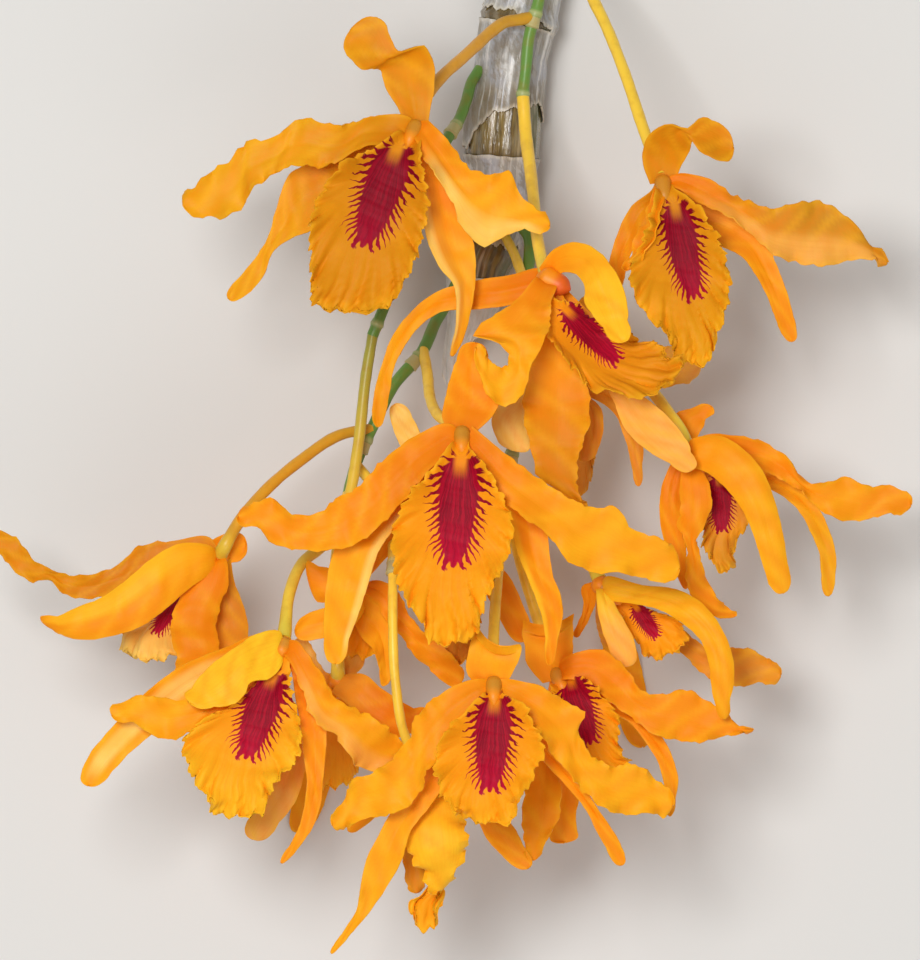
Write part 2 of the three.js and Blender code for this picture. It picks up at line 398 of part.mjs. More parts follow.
        [4.4, -37.2, 2.4, -35.4, 55.6], [0.2, -46, -4.2, -43.6, 54.8], [-4.8, -54, -9.6, -52, 54],
        [-8.4, -58.8, -13.2, -58.4, 53.6, -0.8], [-9.6, -63, -15.6, -63.2, 53.2, -0.8],
        [-12.1, -67.6, -16.6, -68, 52.2], [-15.5, -72.5, -17.3, -71.7, 51],
        [-18.2, -75.6, -19.2, -74.9, 50], [-20.4, -78.2, -21.1, -77.6, 49.4],
      ] },
      { kind: "petal", cup: 0.12, wave: 0.8, bow: 1, rungs: [
        [7.8, -33, 6.8, -35.8, 57.8], [13, -34.3, 10.4, -39, 58.4, 1.4],
        [17.2, -36.4, 13.6, -43, 58.4, 1.6], [20.3, -38.7, 15.9, -46, 57.8, 1.2],
        [19.9, -42.2, 18, -48.8, 57], [22.4, -46.2, 20.7, -51.8, 56.4],
        [26, -47.6, 24.1, -54.7, 55.6], [29, -47.2, 27.9, -55.7, 54.6],
        [32.2, -49.5, 31.5, -55.2, 53.6], [34.4, -53, 34.2, -54.4, 53],
      ] },
      { kind: "sepal", cup: 0.2, wave: 0, bow: 1, rungs: [
        [9, -36.6, 6.8, -37.4, 55.2], [14.8, -43.4, 11.8, -44.4, 53.6],
        [20.2, -50.4, 17.4, -50.6, 52.4], [23.5, -55.6, 21, -55, 51.6],
        [25.6, -58.6, 22.8, -58.6, 51.2], [26.9, -61.1, 24.3, -61.2, 50.6],
        [26.9, -62.9, 26, -63.2, 50.4],
      ] },
      { kind: "lip", cup: 0.42, wave: 1, bow: 1.4, rungs: [
        [7.4, -36, 3.8, -36.4, 59.4], [10.2, -37.6, 0.6, -38.8, 61],
        [12.6, -41, -2.6, -42.4, 62.4], [14, -44.8, -4.2, -46.6, 63],
        [12.4, -48.4, -3.8, -50, 63.4], [11, -51.4, -2.8, -52.6, 63.6],
        [9.4, -53.8, -0.8, -54.6, 63.2], [7.4, -55.4, 1.6, -55.8, 62.6],
      ] },
    ],
  },
  bloom_h: {
    heart: [16.4, -32.8, 37], face: [0.2, -0.1, 1], lipward: [0.3, -1, 0.2],
    blades: [
      { kind: "dorsal", cup: 0.12, wave: 0, bow: -2.4, rungs: [
        [13.8, -34, 18.6, -33, 37.6], [11.2, -30.8, 18.8, -30, 38.4], [10.8, -27.8, 18.9, -27, 39],
        [10.4, -25.6, 18.9, -24.8, 39.2], [11.5, -23.6, 18, -22.8, 38.6],
      ] },
      { kind: "petal", cup: 0.12, wave: 0.7, bow: 1, rungs: [
        [17.2, -29.8, 17.4, -33.4, 39.4], [23.4, -28.4, 21.2, -34, 40.6, 0.8],
        [27.8, -31.4, 24.8, -37, 41, 0.8], [30.4, -35.2, 28.8, -39.8, 41.2],
        [33.8, -35.8, 32.2, -42.4, 41.2], [37.9, -35, 36.5, -43.5, 41],
        [41.3, -36.9, 39.9, -43.8, 40.6], [44.8, -39.2, 44, -42.9, 40.2],
        [46.8, -41.2, 46.6, -42.4, 39.8], [47.7, -41.3, 47.9, -42.3, 39.6],
      ] },
      { kind: "sepal", cup: 0.2, wave: 0, bow: 0.8, rungs: [
        [19.4, -32.8, 17.6, -34.8, 36.6], [26.4, -36.4, 24, -38.2, 36.8],
        [31.6, -41, 29, -41.2, 37.4], [34.2, -43.6, 31.4, -44.4, 37.6],
        [35.7, -46.8, 33, -47, 37.4], [36.5, -50.2, 34, -50.4, 37],
        [36.1, -53.2, 34.4, -53.2, 36.6], [35.5, -55.3, 34.8, -55.2, 36.2],
      ] },
      { kind: "petal", cup: 0.12, wave: 0.6, bow: 1.2, rungs: [
        [18, -36, 14.6, -36, 36.8], [17.4, -42, 13.4, -42, 37.2], [16.6, -48, 12.4, -48, 39.4],
        [16.9, -53.2, 10.6, -53.2, 40.8], [16.2, -57.2, 10.4, -57.6, 41.2],
        [14.2, -60.4, 10.9, -60.6, 41.2], [12.8, -62.2, 11.8, -62.2, 41],
      ] },
      { kind: "sepal", cup: 0.15, wave: 0.5, bow: 1, rungs: [
        [19, -36, 16, -36, 34.4], [19.4, -44, 14.6, -44, 33], [20.2, -52, 14.8, -52, 32],
        [19.4, -56.6, 14.6, -56.6, 31.6], [19.8, -59.4, 15, -59.8, 31.2],
      ] },
      { kind: "lip", cup: 0.3, wave: 0.9, bow: 1.2, rungs: [
        [18.6, -33, 15.6, -35, 39], [22.2, -34.6, 15.8, -37.4, 41.6],
        [24.9, -37.2, 16, -40.6, 42.8], [26.6, -40.4, 17, -43.8, 43.2],
        [26.4, -43.4, 18.8, -46.8, 43.2], [27.2, -46, 21.4, -48.6, 43],
        [27.2, -47.4, 24.4, -49, 42.8],
      ] },
    ],
  },
  bloom_i: {
    heart: [24, -18, 34.6], face: [0.7, -0.6, 0.2], lipward: [0.7, -0.7, 0],
    blades: [
      { kind: "sepal", cup: -0.2, wave: 0, bow: 1, rungs: [
        [24.4, -16.2, 24.6, -19.8, 36.2], [30.6, -17.6, 29.8, -20.8, 38.6],
        [36.2, -18.3, 33.6, -21.8, 40.8], [40.5, -20.7, 37.4, -24.1, 42.4],
        [43.7, -24.8, 40.3, -27, 43.4], [45.4, -29.2, 41.6, -30.8, 43.8],
        [45.7, -33.8, 42, -34.8, 43.8], [45, -37, 42.7, -37.6, 43.4],
        [44.6, -38.6, 43.4, -38.8, 43],
      ] },
      { kind: "sepal", cup: -0.15, wave: 0, bow: 1, rungs: [
        [25.2, -18.8, 22.8, -18.8, 36.4], [26.2, -21.4, 23, -21.4, 37.4],
        [27.7, -24, 23.6, -24.4, 38], [29.1, -26.9, 24.7, -27.6, 38.2],
        [29.4, -29.8, 26, -30.2, 37.8],
      ] },
      { kind: "dorsal", cup: -0.15, wave: 0, bow: 0.8, rungs: [
        [23.8, -17, 22.4, -17, 34.4], [23, -18.6, 20.4, -17.8, 33.6],
        [22.6, -21, 20.7, -20.6, 32.8], [21.6, -23.4, 20.2, -23, 32.2],
        [20.4, -25.6, 19.2, -25.2, 31.6],
      ] },
      { kind: "lip", cup: 0.3, wave: 0.8, bow: 1, rungs: [
        [26.2, -18.8, 24.8, -20.8, 33], [30.2, -21, 27.2, -22.8, 33], [33.2, -22.2, 28, -25, 33],
        [35.9, -23.3, 30, -27.4, 33.4], [37.5, -25.2, 31.2, -29.4, 33.8],
        [36.9, -27, 33, -29.2, 33.8],
      ] },
      { kind: "petal", cup: 0.12, wave: 0.6, bow: 1.2, rungs: [
        [26.4, -18.6, 25, -20.2, 31.6], [32.6, -22.4, 30.4, -25.2, 29.8], [38, -25.6, 36, -28, 29],
        [41.6, -28.2, 39.6, -31.4, 28.8], [45, -28.2, 43, -34.2, 28.8],
        [48.8, -28.4, 46.9, -34.6, 28.8], [51.4, -30, 50, -34, 28.8],
        [52.6, -31.6, 52.3, -33.2, 28.8],
      ] },
      { kind: "rest", cup: 0, wave: 0, bow: 1, rungs: [
        [26.2, -19.6, 22.8, -20.4, 31.8], [27.4, -22.4, 22.8, -23.2, 22],
        [28.6, -25, 23.4, -26, 11], [29.8, -28.4, 24.4, -29.4, 3.4], [31, -33, 25.2, -34, 0.42],
        [32, -38.4, 26.6, -39.4, 0.42], [32.6, -43.6, 28.6, -44.4, 0.42],
      ] },
    ],
  },
  bloom_j: {
    heart: [38.4, 4.2, 39.6], face: [0.7, -0.6, 0.1], lipward: [0.5, -0.9, 0.1],
    blades: [
      { kind: "dorsal", cup: 0.15, wave: 0.3, bow: 0.8, rungs: [
        [37, 4.8, 40, 4, 38], [36.5, 9.4, 39.8, 7.4, 36.6], [36.1, 11.2, 40.7, 8.8, 36],
        [38.6, 11.9, 41.1, 10.2, 35.8], [40.8, 12.2, 41.7, 11.4, 36],
      ] },
      { kind: "sepal", cup: -0.2, wave: 0, bow: 1.4, rungs: [
        [38.4, 6.4, 37.8, 2.6, 41.2], [43.5, 7.3, 41.4, 1.2, 43.4], [47.3, 5.1, 44.4, -1.4, 44.8],
        [50.4, 1.6, 46.9, -4.6, 45.4], [52.4, -3.2, 48.6, -8.2, 45.4],
        [53.7, -8.2, 49.8, -11.8, 45], [54.5, -13.2, 51, -15.4, 44.2],
        [54.5, -17.2, 52.5, -17.6, 43.4],
      ] },
      { kind: "petal", cup: 0.12, wave: 0.6, bow: 1.2, rungs: [
        [39.6, 6.8, 40, 3.6, 40], [46, 7.4, 47, 3, 40.2], [50.5, 6.5, 50.9, 1.4, 40],
        [54.9, 3.4, 54.9, -0.6, 39.6], [57.6, 0, 57, -1.9, 39.2], [60.8, -0.5, 59.8, -4.6, 39],
        [64.5, 0.5, 63.3, -6.6, 38.6], [68.4, -1.1, 67.6, -6.7, 38.2],
        [71.9, -1, 71.4, -5.6, 37.8], [74.3, -3.1, 73.9, -4.6, 37.6],
      ] },
      { kind: "sepal", cup: 0.2, wave: 0, bow: 1, rungs: [
        [40.4, 4.4, 39.4, 2.4, 38], [47, 3, 45.4, 0.4, 37], [53.4, 1, 51.2, -1.2, 36.6],
        [57, -1.4, 54.4, -3, 36.4], [60, -4.7, 57, -5.6, 36.2], [61.8, -8.4, 58.8, -9, 36],
        [62.9, -12.4, 60.2, -12.6, 35.6], [62.8, -15.9, 60.5, -16, 35.2],
        [62, -18.2, 61.2, -18.2, 34.8],
      ] },
      { kind: "sepal", cup: -0.2, wave: 0, bow: 1, rungs: [
        [38.4, 2.6, 35.8, 3.4, 37.6], [37, -2.4, 33.8, -1, 37.2], [37.4, -7, 33.4, -5.6, 36.6],
        [37.8, -11, 34, -9.6, 36], [37.9, -14.6, 35.4, -13.6, 35.2],
        [37.7, -17.3, 36.8, -16.5, 34.6],
      ] },
      { kind: "petal", cup: -0.15, wave: 0.4, bow: 0.8, rungs: [
        [40.2, 2.2, 37, 2.2, 41], [41.8, -1.3, 36.7, -2, 42.4], [41.9, -4.8, 36.8, -5.2, 42.8],
        [40.7, -7.7, 36.3, -7.7, 42.4], [39.6, -10, 37.6, -10.2, 41.6],
        [40.2, -12.8, 38, -13.6, 40.4], [41.1, -16.2, 37.8, -17.2, 38.8],
        [42.9, -19.4, 40, -20.8, 37.4], [44.4, -21.2, 42.4, -22.6, 36.4],
        [45.4, -22.2, 44.8, -22.8, 35.8],
      ] },
      { kind: "lip", cup: 0.3, wave: 0.8, bow: 1, rungs: [
        [41.4, 3, 39.4, 1.6, 38.6], [44, -0.4, 41, -0.6, 38.8], [46.9, -3.2, 41.5, -4, 39.2],
        [48.4, -6.7, 40.8, -7.8, 39.4], [46.8, -9.4, 40.6, -11, 39.4],
        [45.6, -12.4, 42, -13.2, 39], [45.3, -14.2, 43.5, -14.4, 38.6],
      ] },
    ],
  },
  bloom_k: {
    heart: [-20.4, -34, 36.6], face: [0.1, -0.7, -0.7], lipward: [0, -0.6, -0.8],
    blades: [
      { kind: "sepal", cup: -0.15, wave: 0, bow: 1, rungs: [
        [-19.4, -32.6, -21.4, -35.6, 38], [-16.2, -32.4, -18.6, -37.6, 40],
        [-13.4, -34.6, -15, -41, 40.6], [-10.6, -36.5, -11.6, -43, 40.4],
        [-7.8, -38.2, -8.6, -42.4, 39.8], [-6.4, -39, -6.5, -40.6, 39.4],
      ] },
      { kind: "dorsal", cup: -0.2, wave: 0, bow: 0.8, rungs: [
        [-22, -33.2, -18.8, -33.6, 36.4], [-20.8, -30.2, -16.2, -31, 35.6],
        [-19.6, -27.4, -15.8, -28, 34.4], [-19, -24.8, -16, -25.2, 33.2],
      ] },
      { kind: "lip", cup: -0.3, wave: 0.8, bow: 1.4, rungs: [
        [-18.6, -35.6, -22, -35.6, 34.6], [-17.2, -39, -23.4, -39, 31.6],
        [-16.6, -43, -24.6, -43, 28.6], [-17, -47, -24.2, -47.4, 26.4],
        [-18.2, -50, -23, -50.4, 25],
      ] },
      { kind: "sepal", cup: -0.15, wave: 0, bow: 1.4, rungs: [
        [-20.4, -36, -22.6, -34.8, 36.8], [-23, -41.4, -26.4, -40, 38.6],
        [-25.6, -46, -29.2, -45.4, 39.6], [-26.2, -49.8, -31, -49.4, 39.8],
        [-27.7, -54, -33.4, -53.4, 39.4], [-30.2, -57.2, -35.2, -56.4, 38.6],
        [-32.3, -59.2, -35.3, -58.4, 38],
      ] },
      { kind: "petal", cup: -0.15, wave: 0.4, bow: 1, rungs: [
        [-22.4, -32.2, -23, -35, 36.6], [-24, -29.4, -26.6, -32, 38],
        [-25.6, -26.4, -28.4, -29.4, 38.8],
      ] },
      { kind: "rest", cup: 0, wave: 0, bow: 1, rungs: [
        [-18.8, -34.6, -22, -35.2, 34], [-18.4, -37, -23.2, -37.8, 24],
        [-18.8, -39.6, -24.4, -40.6, 12.4], [-19.6, -43, -25.6, -44.2, 3.8],
        [-20.8, -47.6, -27, -48.8, 0.42], [-22.4, -53, -28.2, -54, 0.42],
        [-24.6, -58, -28.8, -58.8, 0.42],
      ] },
    ],
  },
  bloom_l: {
    heart: [-16.6, -18.4, 39.4], face: [-0.3, -0.7, 0.5], lipward: [0.3, -0.9, 0],
    blades: [
      { kind: "sepal", cup: 0.2, wave: 0, bow: 1, rungs: [
        [-15.8, -21, -17.2, -18.2, 41], [-18.4, -24.9, -19.5, -20.9, 42.4],
        [-22.5, -26.3, -22.5, -21.3, 43], [-26.4, -26.8, -26.4, -22.9, 43],
      ] },
      { kind: "sepal", cup: 0.2, wave: 0, bow: 0.8, rungs: [
        [-16.4, -19, -17.4, -22.4, 40.8], [-14.9, -21.1, -16, -25.4, 41.8],
        [-13.1, -22.4, -14.3, -27, 41.8], [-12, -25, -13.5, -29, 41.2],
        [-11.8, -28.8, -13.1, -31, 40.4], [-11.9, -32.8, -12.5, -33.4, 39.8],
      ] },
      { kind: "petal", cup: 0.12, wave: 0.7, bow: 1, rungs: [
        [-14.2, -16.6, -16.4, -19, 41.2], [-10.6, -18.4, -14, -20.6, 42.4],
        [-8.8, -21.9, -12.4, -23.4, 42.8], [-6.5, -24.9, -9.4, -26.6, 42.8],
        [-3.8, -26.8, -7.9, -29, 42.6], [-1.2, -29.4, -5.2, -31.4, 42],
        [0.4, -32.2, -1.9, -34, 41.4],
      ] },
      { kind: "dorsal", cup: 0.2, wave: 0, bow: 0.8, rungs: [
        [-18, -18, -15.4, -16.4, 40], [-16.4, -11.4, -11.8, -12.4, 41.4],
        [-13.8, -7.6, -9.4, -9.6, 42],
      ] },
      { kind: "petal", cup: -0.15, wave: 0.4, bow: 0.8, rungs: [
        [-17.8, -19.4, -18.2, -16.4, 38.6], [-21, -20.6, -22.2, -14.8, 38.8],
        [-23.6, -20.4, -25.2, -13.6, 38.4],
      ] },
      { kind: "lip", cup: 0.4, wave: 0.6, bow: 1.2, rungs: [
        [-14.8, -19.8, -17.6, -21, 38.8], [-13.2, -23, -18.6, -24, 38.6],
        [-13, -26, -19.2, -26.6, 38.4], [-14, -28.2, -18.4, -28.8, 38.2],
      ] },
    ],
  },
  bloom_m: {
    heart: [-4.6, -49.2, 45.6], face: [0, -0.7, -0.5], lipward: [0, -0.9, -0.3],
    blades: [
      { kind: "petal", cup: -0.3, wave: 0.7, bow: 1.4, rungs: [
        [-3, -50.6, -6.2, -50.2, 46.8], [-0.6, -54, -7, -53.8, 49], [0.8, -57, -9, -58, 50.4],
        [1.3, -60, -8.8, -61.2, 50.8], [0.7, -62.8, -7.4, -64, 50.4],
        [-0.8, -65.2, -5.8, -65.6, 49.6], [-2.4, -66.9, -4.5, -67, 49],
      ] },
      { kind: "sepal", cup: 0.2, wave: 0, bow: 1, rungs: [
        [-2.6, -49.2, -4, -51.6, 44.4], [1, -51, -1, -53.6, 43], [6.5, -55.6, 2.6, -56.2, 42],
        [9, -58, 4.4, -59.8, 42], [10.5, -61, 7, -62.6, 41.8], [11.3, -63.6, 9.8, -64.3, 41.6],
      ] },
      { kind: "petal", cup: 0.12, wave: 0.5, bow: 1, rungs: [
        [-4.6, -51, -6.8, -50.4, 44.6], [-5.6, -56, -8.8, -55.4, 44.2], [-6, -61, -9.6, -60.6, 44],
        [-5.6, -65.2, -9.2, -65.2, 44], [-6.4, -67.8, -8.4, -67.6, 43.8],
      ] },
      { kind: "lip", cup: 0.15, wave: 0.5, bow: 1.2, rungs: [
        [-3.4, -52, -5.4, -52, 43], [-2.4, -57, -5.4, -57, 42.6], [-2.6, -62, -5.2, -62, 43],
        [-3.1, -66.4, -4.9, -66.6, 44], [-2.7, -68.8, -6.2, -69, 44.6],
        [-2.9, -70.8, -8.6, -70.6, 44.6], [-3.8, -72.4, -7.8, -72.8, 44.2],
        [-4.6, -73.7, -6.8, -73.9, 44],
      ] },
      { kind: "sepal", cup: -0.2, wave: 0, bow: 1, rungs: [
        [-5.6, -50.4, -6, -47.8, 44], [-9.8, -53.4, -12, -49.2, 42.4],
        [-13.8, -56, -15.6, -53.4, 41], [-17.4, -58.6, -18.4, -56.8, 39.6],
      ] },
    ],
  },
  bloom_n: {
    heart: [19.8, 15, 30], face: [0.1, -0.6, -0.6], lipward: [0.1, -0.7, -0.7],
    blades: [
      { kind: "sepal", cup: -0.15, wave: 0, bow: 1, rungs: [
        [21.4, 14, 18.6, 14, 32], [23.6, 12, 20.4, 12, 34.4], [24, 8.4, 20.6, 8.4, 35],
        [22.9, 4.6, 19.7, 4, 35],
      ] },
      { kind: "sepal", cup: -0.15, wave: 0, bow: 1, rungs: [
        [21.8, 16.4, 20.6, 14, 31], [28, 13.4, 26, 11, 33], [30, 8.6, 27, 8.6, 33.6],
        [30.7, 5, 28.2, 5, 33.6], [30.5, 2.2, 28.8, 2.2, 33.2], [30.3, 0.2, 29.3, 0.2, 33],
      ] },
      { kind: "petal", cup: -0.15, wave: 0.4, bow: 1, rungs: [
        [18.4, 13.4, 17.8, 16.4, 31], [11.4, 9.8, 9.6, 14.2, 36.4], [11.9, 7.4, 5.4, 11, 38.6],
        [11.6, 5.2, 6.2, 7, 39],
      ] },
      { kind: "petal", cup: -0.15, wave: 0.5, bow: 1, rungs: [
        [21, 17.4, 22, 14.8, 30], [27.6, 20.6, 29.4, 14.6, 28.6], [33.4, 22.4, 35.4, 15.8, 27],
        [39, 21.4, 39.6, 17.6, 25.4],
      ] },
      { kind: "lip", cup: -0.3, wave: 0.8, bow: 1.4, rungs: [
        [21.6, 13.6, 18.2, 13.6, 28.4], [23.4, 10.4, 16.6, 10.4, 24.6], [24.4, 6.6, 15.4, 6.4, 21],
        [24, 2.4, 15.8, 2, 18.4], [22.4, -1, 17, -1.4, 17],
      ] },
      { kind: "dorsal", cup: -0.15, wave: 0, bow: 1, rungs: [
        [18.6, 16.4, 21.4, 16.6, 30.4], [17.6, 21, 22.4, 21.6, 30.6], [18.6, 26, 22.8, 26.2, 30],
        [20.4, 30, 22.8, 30, 29],
      ] },
    ],
  },
  bloom_o: {
    heart: [3, -13.4, 37], face: [0, -0.6, 0.3], lipward: [-0.1, -0.9, 0],
    blades: [
      { kind: "sepal", cup: 0.2, wave: 0, bow: 1, rungs: [
        [4.2, -12, 3, -15, 38], [8.4, -16.4, 4.6, -19.4, 38.4], [10.4, -20.6, 6.8, -23.4, 38],
        [11.8, -25, 9, -26.6, 37.4],
      ] },
      { kind: "lip", cup: 0.3, wave: 0.7, bow: 1.2, rungs: [
        [4, -15.4, 1.8, -15.4, 39.4], [3.8, -20, -3, -20.4, 40.8], [3.2, -25, -5, -25.4, 40.6],
        [2.4, -29.4, -4.4, -29.6, 39.6],
      ] },
      { kind: "petal", cup: 0.12, wave: 0.5, bow: 1, rungs: [
        [2.4, -14.6, 1.8, -11.8, 37.6], [-3.8, -14.6, -5, -8.8, 38], [-8.2, -14, -8.8, -9.4, 37.4],
      ] },
      { kind: "petal", cup: 0.12, wave: 0.5, bow: 1, rungs: [
        [2.2, -11.4, 4.2, -12.2, 38.6], [6, -4.5, 10, -7.5, 40.2], [11, -0.6, 14.5, -4.6, 40.6],
      ] },
      { kind: "dorsal", cup: 0.12, wave: 0, bow: 1, rungs: [
        [0.8, -12.8, 4.6, -12, 37], [-2.4, -4, 2.6, -3.4, 35.4], [-6.4, 2.8, -1.8, 4.2, 35.6],
        [-9.8, 5.4, -6.4, 7.6, 36], [-11.2, 8.8, -7.9, 10.4, 36], [-11.5, 11.2, -9.2, 12, 36],
      ] },
    ],
  },
};

// ---------- shape tools ----------
const vec = (a) => new THREE.Vector3(a[0], a[1], a[2]);

function manifoldOf(positions, triangles) {
  return new wasm.Manifold(new wasm.Mesh({
    numProp: 3,
    vertProperties: new Float32Array(positions),
    triVerts: new Uint32Array(triangles),
  }));
}

function manifoldOfGeometry(geometry) {
  geometry.deleteAttribute("normal");
  geometry.deleteAttribute("uv");
  const merged = mergeVertices(geometry, 1e-4);
  return manifoldOf(merged.attributes.position.array, merged.index.array);
}

// A closed sheet from a grid of points: both faces, thickness t apart, and the rim between them.
function sheet(grid, t) {
  const rows = grid.length;
  const cols = grid[0].length;
  const positions = [];
  const faceAt = (i, j) => {
    const along = grid[Math.min(i + 1, rows - 1)][j].clone().sub(grid[Math.max(i - 1, 0)][j]);
    const across = grid[i][Math.min(j + 1, cols - 1)].clone().sub(grid[i][Math.max(j - 1, 0)]);
    return across.cross(along).normalize();
  };
  for (const side of [0.5, -0.5]) {
    for (let i = 0; i < rows; i++) {
      for (let j = 0; j < cols; j++) {
        positions.push(...grid[i][j].clone().addScaledVector(faceAt(i, j), side * t).toArray());
      }
    }
  }
  const bottom = rows * cols;
  const triangles = [];
  const at = (i, j) => i * cols + j;
  for (let i = 0; i < rows - 1; i++) {
    for (let j = 0; j < cols - 1; j++) {
      const [a, b, c, d] = [at(i, j), at(i, j + 1), at(i + 1, j + 1), at(i + 1, j)];
      triangles.push(a, b, c, a, c, d);
      triangles.push(bottom + a, bottom + c, bottom + b, bottom + a, bottom + d, bottom + c);
    }
  }
  const rim = [];
  for (let j = 0; j < cols - 1; j++) rim.push(at(0, j));
  for (let i = 0; i < rows - 1; i++) rim.push(at(i, cols - 1));
  for (let j = cols - 1; j > 0; j--) rim.push(at(rows - 1, j));
  for (let i = rows - 1; i > 0; i--) rim.push(at(i, 0));
  rim.forEach((a, k) => {
    const b = rim[(k + 1) % rim.length];
    triangles.push(a, bottom + a, bottom + b, a, bottom + b, b);
  });
  return manifoldOf(positions, triangles);
}

// A rung in the heart, for a blade whose first rung stands clear of it.
function withRoot(ends, heart) {
  const [left, right] = ends[0];
  const from = vec(heart);
  const way = left.clone().add(right).multiplyScalar(0.5).sub(from);
  if (way.length() < ROOT_REACH) return ends;
  const across = right.clone().sub(left).normalize().multiplyScalar(ROOT_WIDTH / 2);
  const middle = from.addScaledVector(way.normalize(), ROOT_DEPTH);
  return [[middle.clone().sub(across), middle.clone().add(across)], ...ends];
}

// A blade's points: each rung is cupped, its edges are waved by turns, and the last one is bowed.
function bladeGrid({ kind, rungs, cup, wave, bow }, heart, grow = 0) {
  const cells = kind === "lip" ? 4 : 2;
  const ends = withRoot(
    rungs.map(([lx, ly, rx, ry, z, tilt = 0]) => [
      vec([lx, ly, z - tilt / 2]), vec([rx, ry, z + tilt / 2]),
    ]),
    heart,
  );
  for (const [left, right] of ends) {
    const across = right.clone().sub(left).normalize();
    left.addScaledVector(across, -grow);
    right.addScaledVector(across, grow);
  }
  const middles = ends.map(([l, r]) => l.clone().add(r).multiplyScalar(0.5));
  const last = ends.length - 1;
  return ends.map(([left, right], i) => {
    const along = middles[Math.min(i + 1, last)].clone().sub(middles[Math.max(i - 1, 0)]).normalize();
    const half = right.distanceTo(left) / 2;
    const face = right.clone().sub(left).cross(along).normalize();
    const cupHere = cup * half * (kind === "lip" ? 1 - 0.75 * (i / last) : 1);
    const waveHere = wave * Math.min(1, i / 2) * (i % 2 ? 1 : -1);
    const row = [];
    for (let j = 0; j <= cells; j++) {
      const v = (2 * j) / cells - 1;
      const p = left.clone().lerp(right, j / cells);
      p.addScaledVector(face, cupHere * (v * v - 1) + waveHere * v * v * Math.sign(v));
      if (i === last) p.addScaledVector(along, grow + bow * (1 - v * v));
      row.push(p);
    }
    return row;
  });
}

// A tapered round stem along a smooth curve through hand-placed points.
function stem({ at, r }) {
  const curve = new THREE.CatmullRomCurve3(at.map(vec), false, "centripetal");
  const steps = Math.max(1, Math.round(curve.getLength() / STEM_STEP));
  const frames = curve.computeFrenetFrames(steps, false);
  const rings = [];
  for (let i = 0; i <= steps; i++) {
    const radius = THREE.MathUtils.lerp(r[0], r[1], i / steps);
    const centre = curve.getPointAt(i / steps);
    rings.push(ring(centre, frames.normals[i], frames.binormals[i], radius, STEM_SIDES));
  }
  return tube(rings);
}

function ring(centre, across, up, radius, sides) {
  const points = [];
  for (let k = 0; k < sides; k++) {
    const turn = (k / sides) * Math.PI * 2;
    const reach = across.clone().multiplyScalar(Math.cos(turn) * radius);
    points.push(centre.clone().add(reach).addScaledVector(up, Math.sin(turn) * radius));
  }
  return points;
}

// A closed tube through rings of points, with a flat fan at each end.
function tube(rings) {
  const sides = rings[0].length;
  const middle = (points) => points.reduce((sum, p) => sum.add(p), vec([0, 0, 0])).divideScalar(sides);
  const points = [...rings.flat(), middle(rings[0]), middle(rings.at(-1))];
  const positions = points.flatMap((p) => p.toArray());
  const first = rings.length * sides;
  const top = (rings.length - 1) * sides;
  const triangles = [];
  for (let k = 0; k < sides; k++) {
    const next = (k + 1) % sides;
    for (let i = 0; i < rings.length - 1; i++) {
      const [a, b] = [i * sides + k, i * sides + next];
      triangles.push(a, b, b + sides, a, b + sides, a + sides);
    }
    triangles.push(first, next, k, first + 1, top + k, top + next);
  }
  const made = manifoldOf(positions, triangles);
  return made.volume() > 0 ? made : tube(rings.map((points) => points.slice().reverse()));
}

function ball(centre, radius) {
  return manifoldOfGeometry(new THREE.SphereGeometry(radius, 7, 5).translate(...centre));
}

// ---------- the plant ----------
const floor = manifoldOfGeometry(
  new THREE.BoxGeometry(FLOOR_SIZE, FLOOR_SIZE, FLOOR_SIZE).translate(0, 0, -FLOOR_SIZE / 2),
);

function column({ heart, face, lipward }) {
  const way = vec(face).normalize().addScaledVector(vec(lipward).normalize(), 0.8).normalize();
  const from = vec(heart);
  const tip = from.clone().addScaledVector(way, COLUMN_LENGTH);
  return stem({ at: [from.toArray(), tip.toArray()], r: [COLUMN_RADIUS, COLUMN_RADIUS * 0.9] });
}

function bloomSolid(bloom) {
  let made = ball(bloom.heart, HEART_RADIUS).add(column(bloom));
  for (const blade of bloom.blades) {
    made = made.add(sheet(bladeGrid(blade, bloom.heart), blade.kind === "rest" ? REST_BLADE : BLADE));
  }
  return made.subtract(floor);
}

// Where a stem may not go: the bloom's middle and blades, grown by the clearance on every side.
function bloomClearance(bloom) {
  let made = ball(bloom.heart, HEART_RADIUS + GAP);
  for (const blade of bloom.blades) {
    made = made.add(sheet(bladeGrid(blade, bloom.heart, GAP), BLADE + 2 * GAP));
  }
  return made;
}

function caneRings(grow) {
  return CANE.map(([x, y, radius], i) => {
    const [x0, y0] = CANE[Math.max(i - 1, 0)];
    const [x1, y1] = CANE[Math.min(i + 1, CANE.length - 1)];
    const along = vec([x1 - x0, y1 - y0, 0]).normalize();
    const across = vec([-along.y, along.x, 0]);
    return ring(vec([x, y, CANE_HEIGHT]), across, vec([0, 0, 1]), radius + grow, CANE_SIDES);
  });
}

function caneAt(y) {
  const below = CANE.findIndex((row) => row[1] <= y);
  const after = below < 0 ? CANE.length - 1 : Math.max(1, below);
  const [a, b] = [CANE[after - 1], CANE[after]];
  const t = THREE.MathUtils.clamp((a[1] - y) / (a[1] - b[1]), 0, 1);
  return [0, 1, 2].map((k) => THREE.MathUtils.lerp(a[k], b[k], t));
}

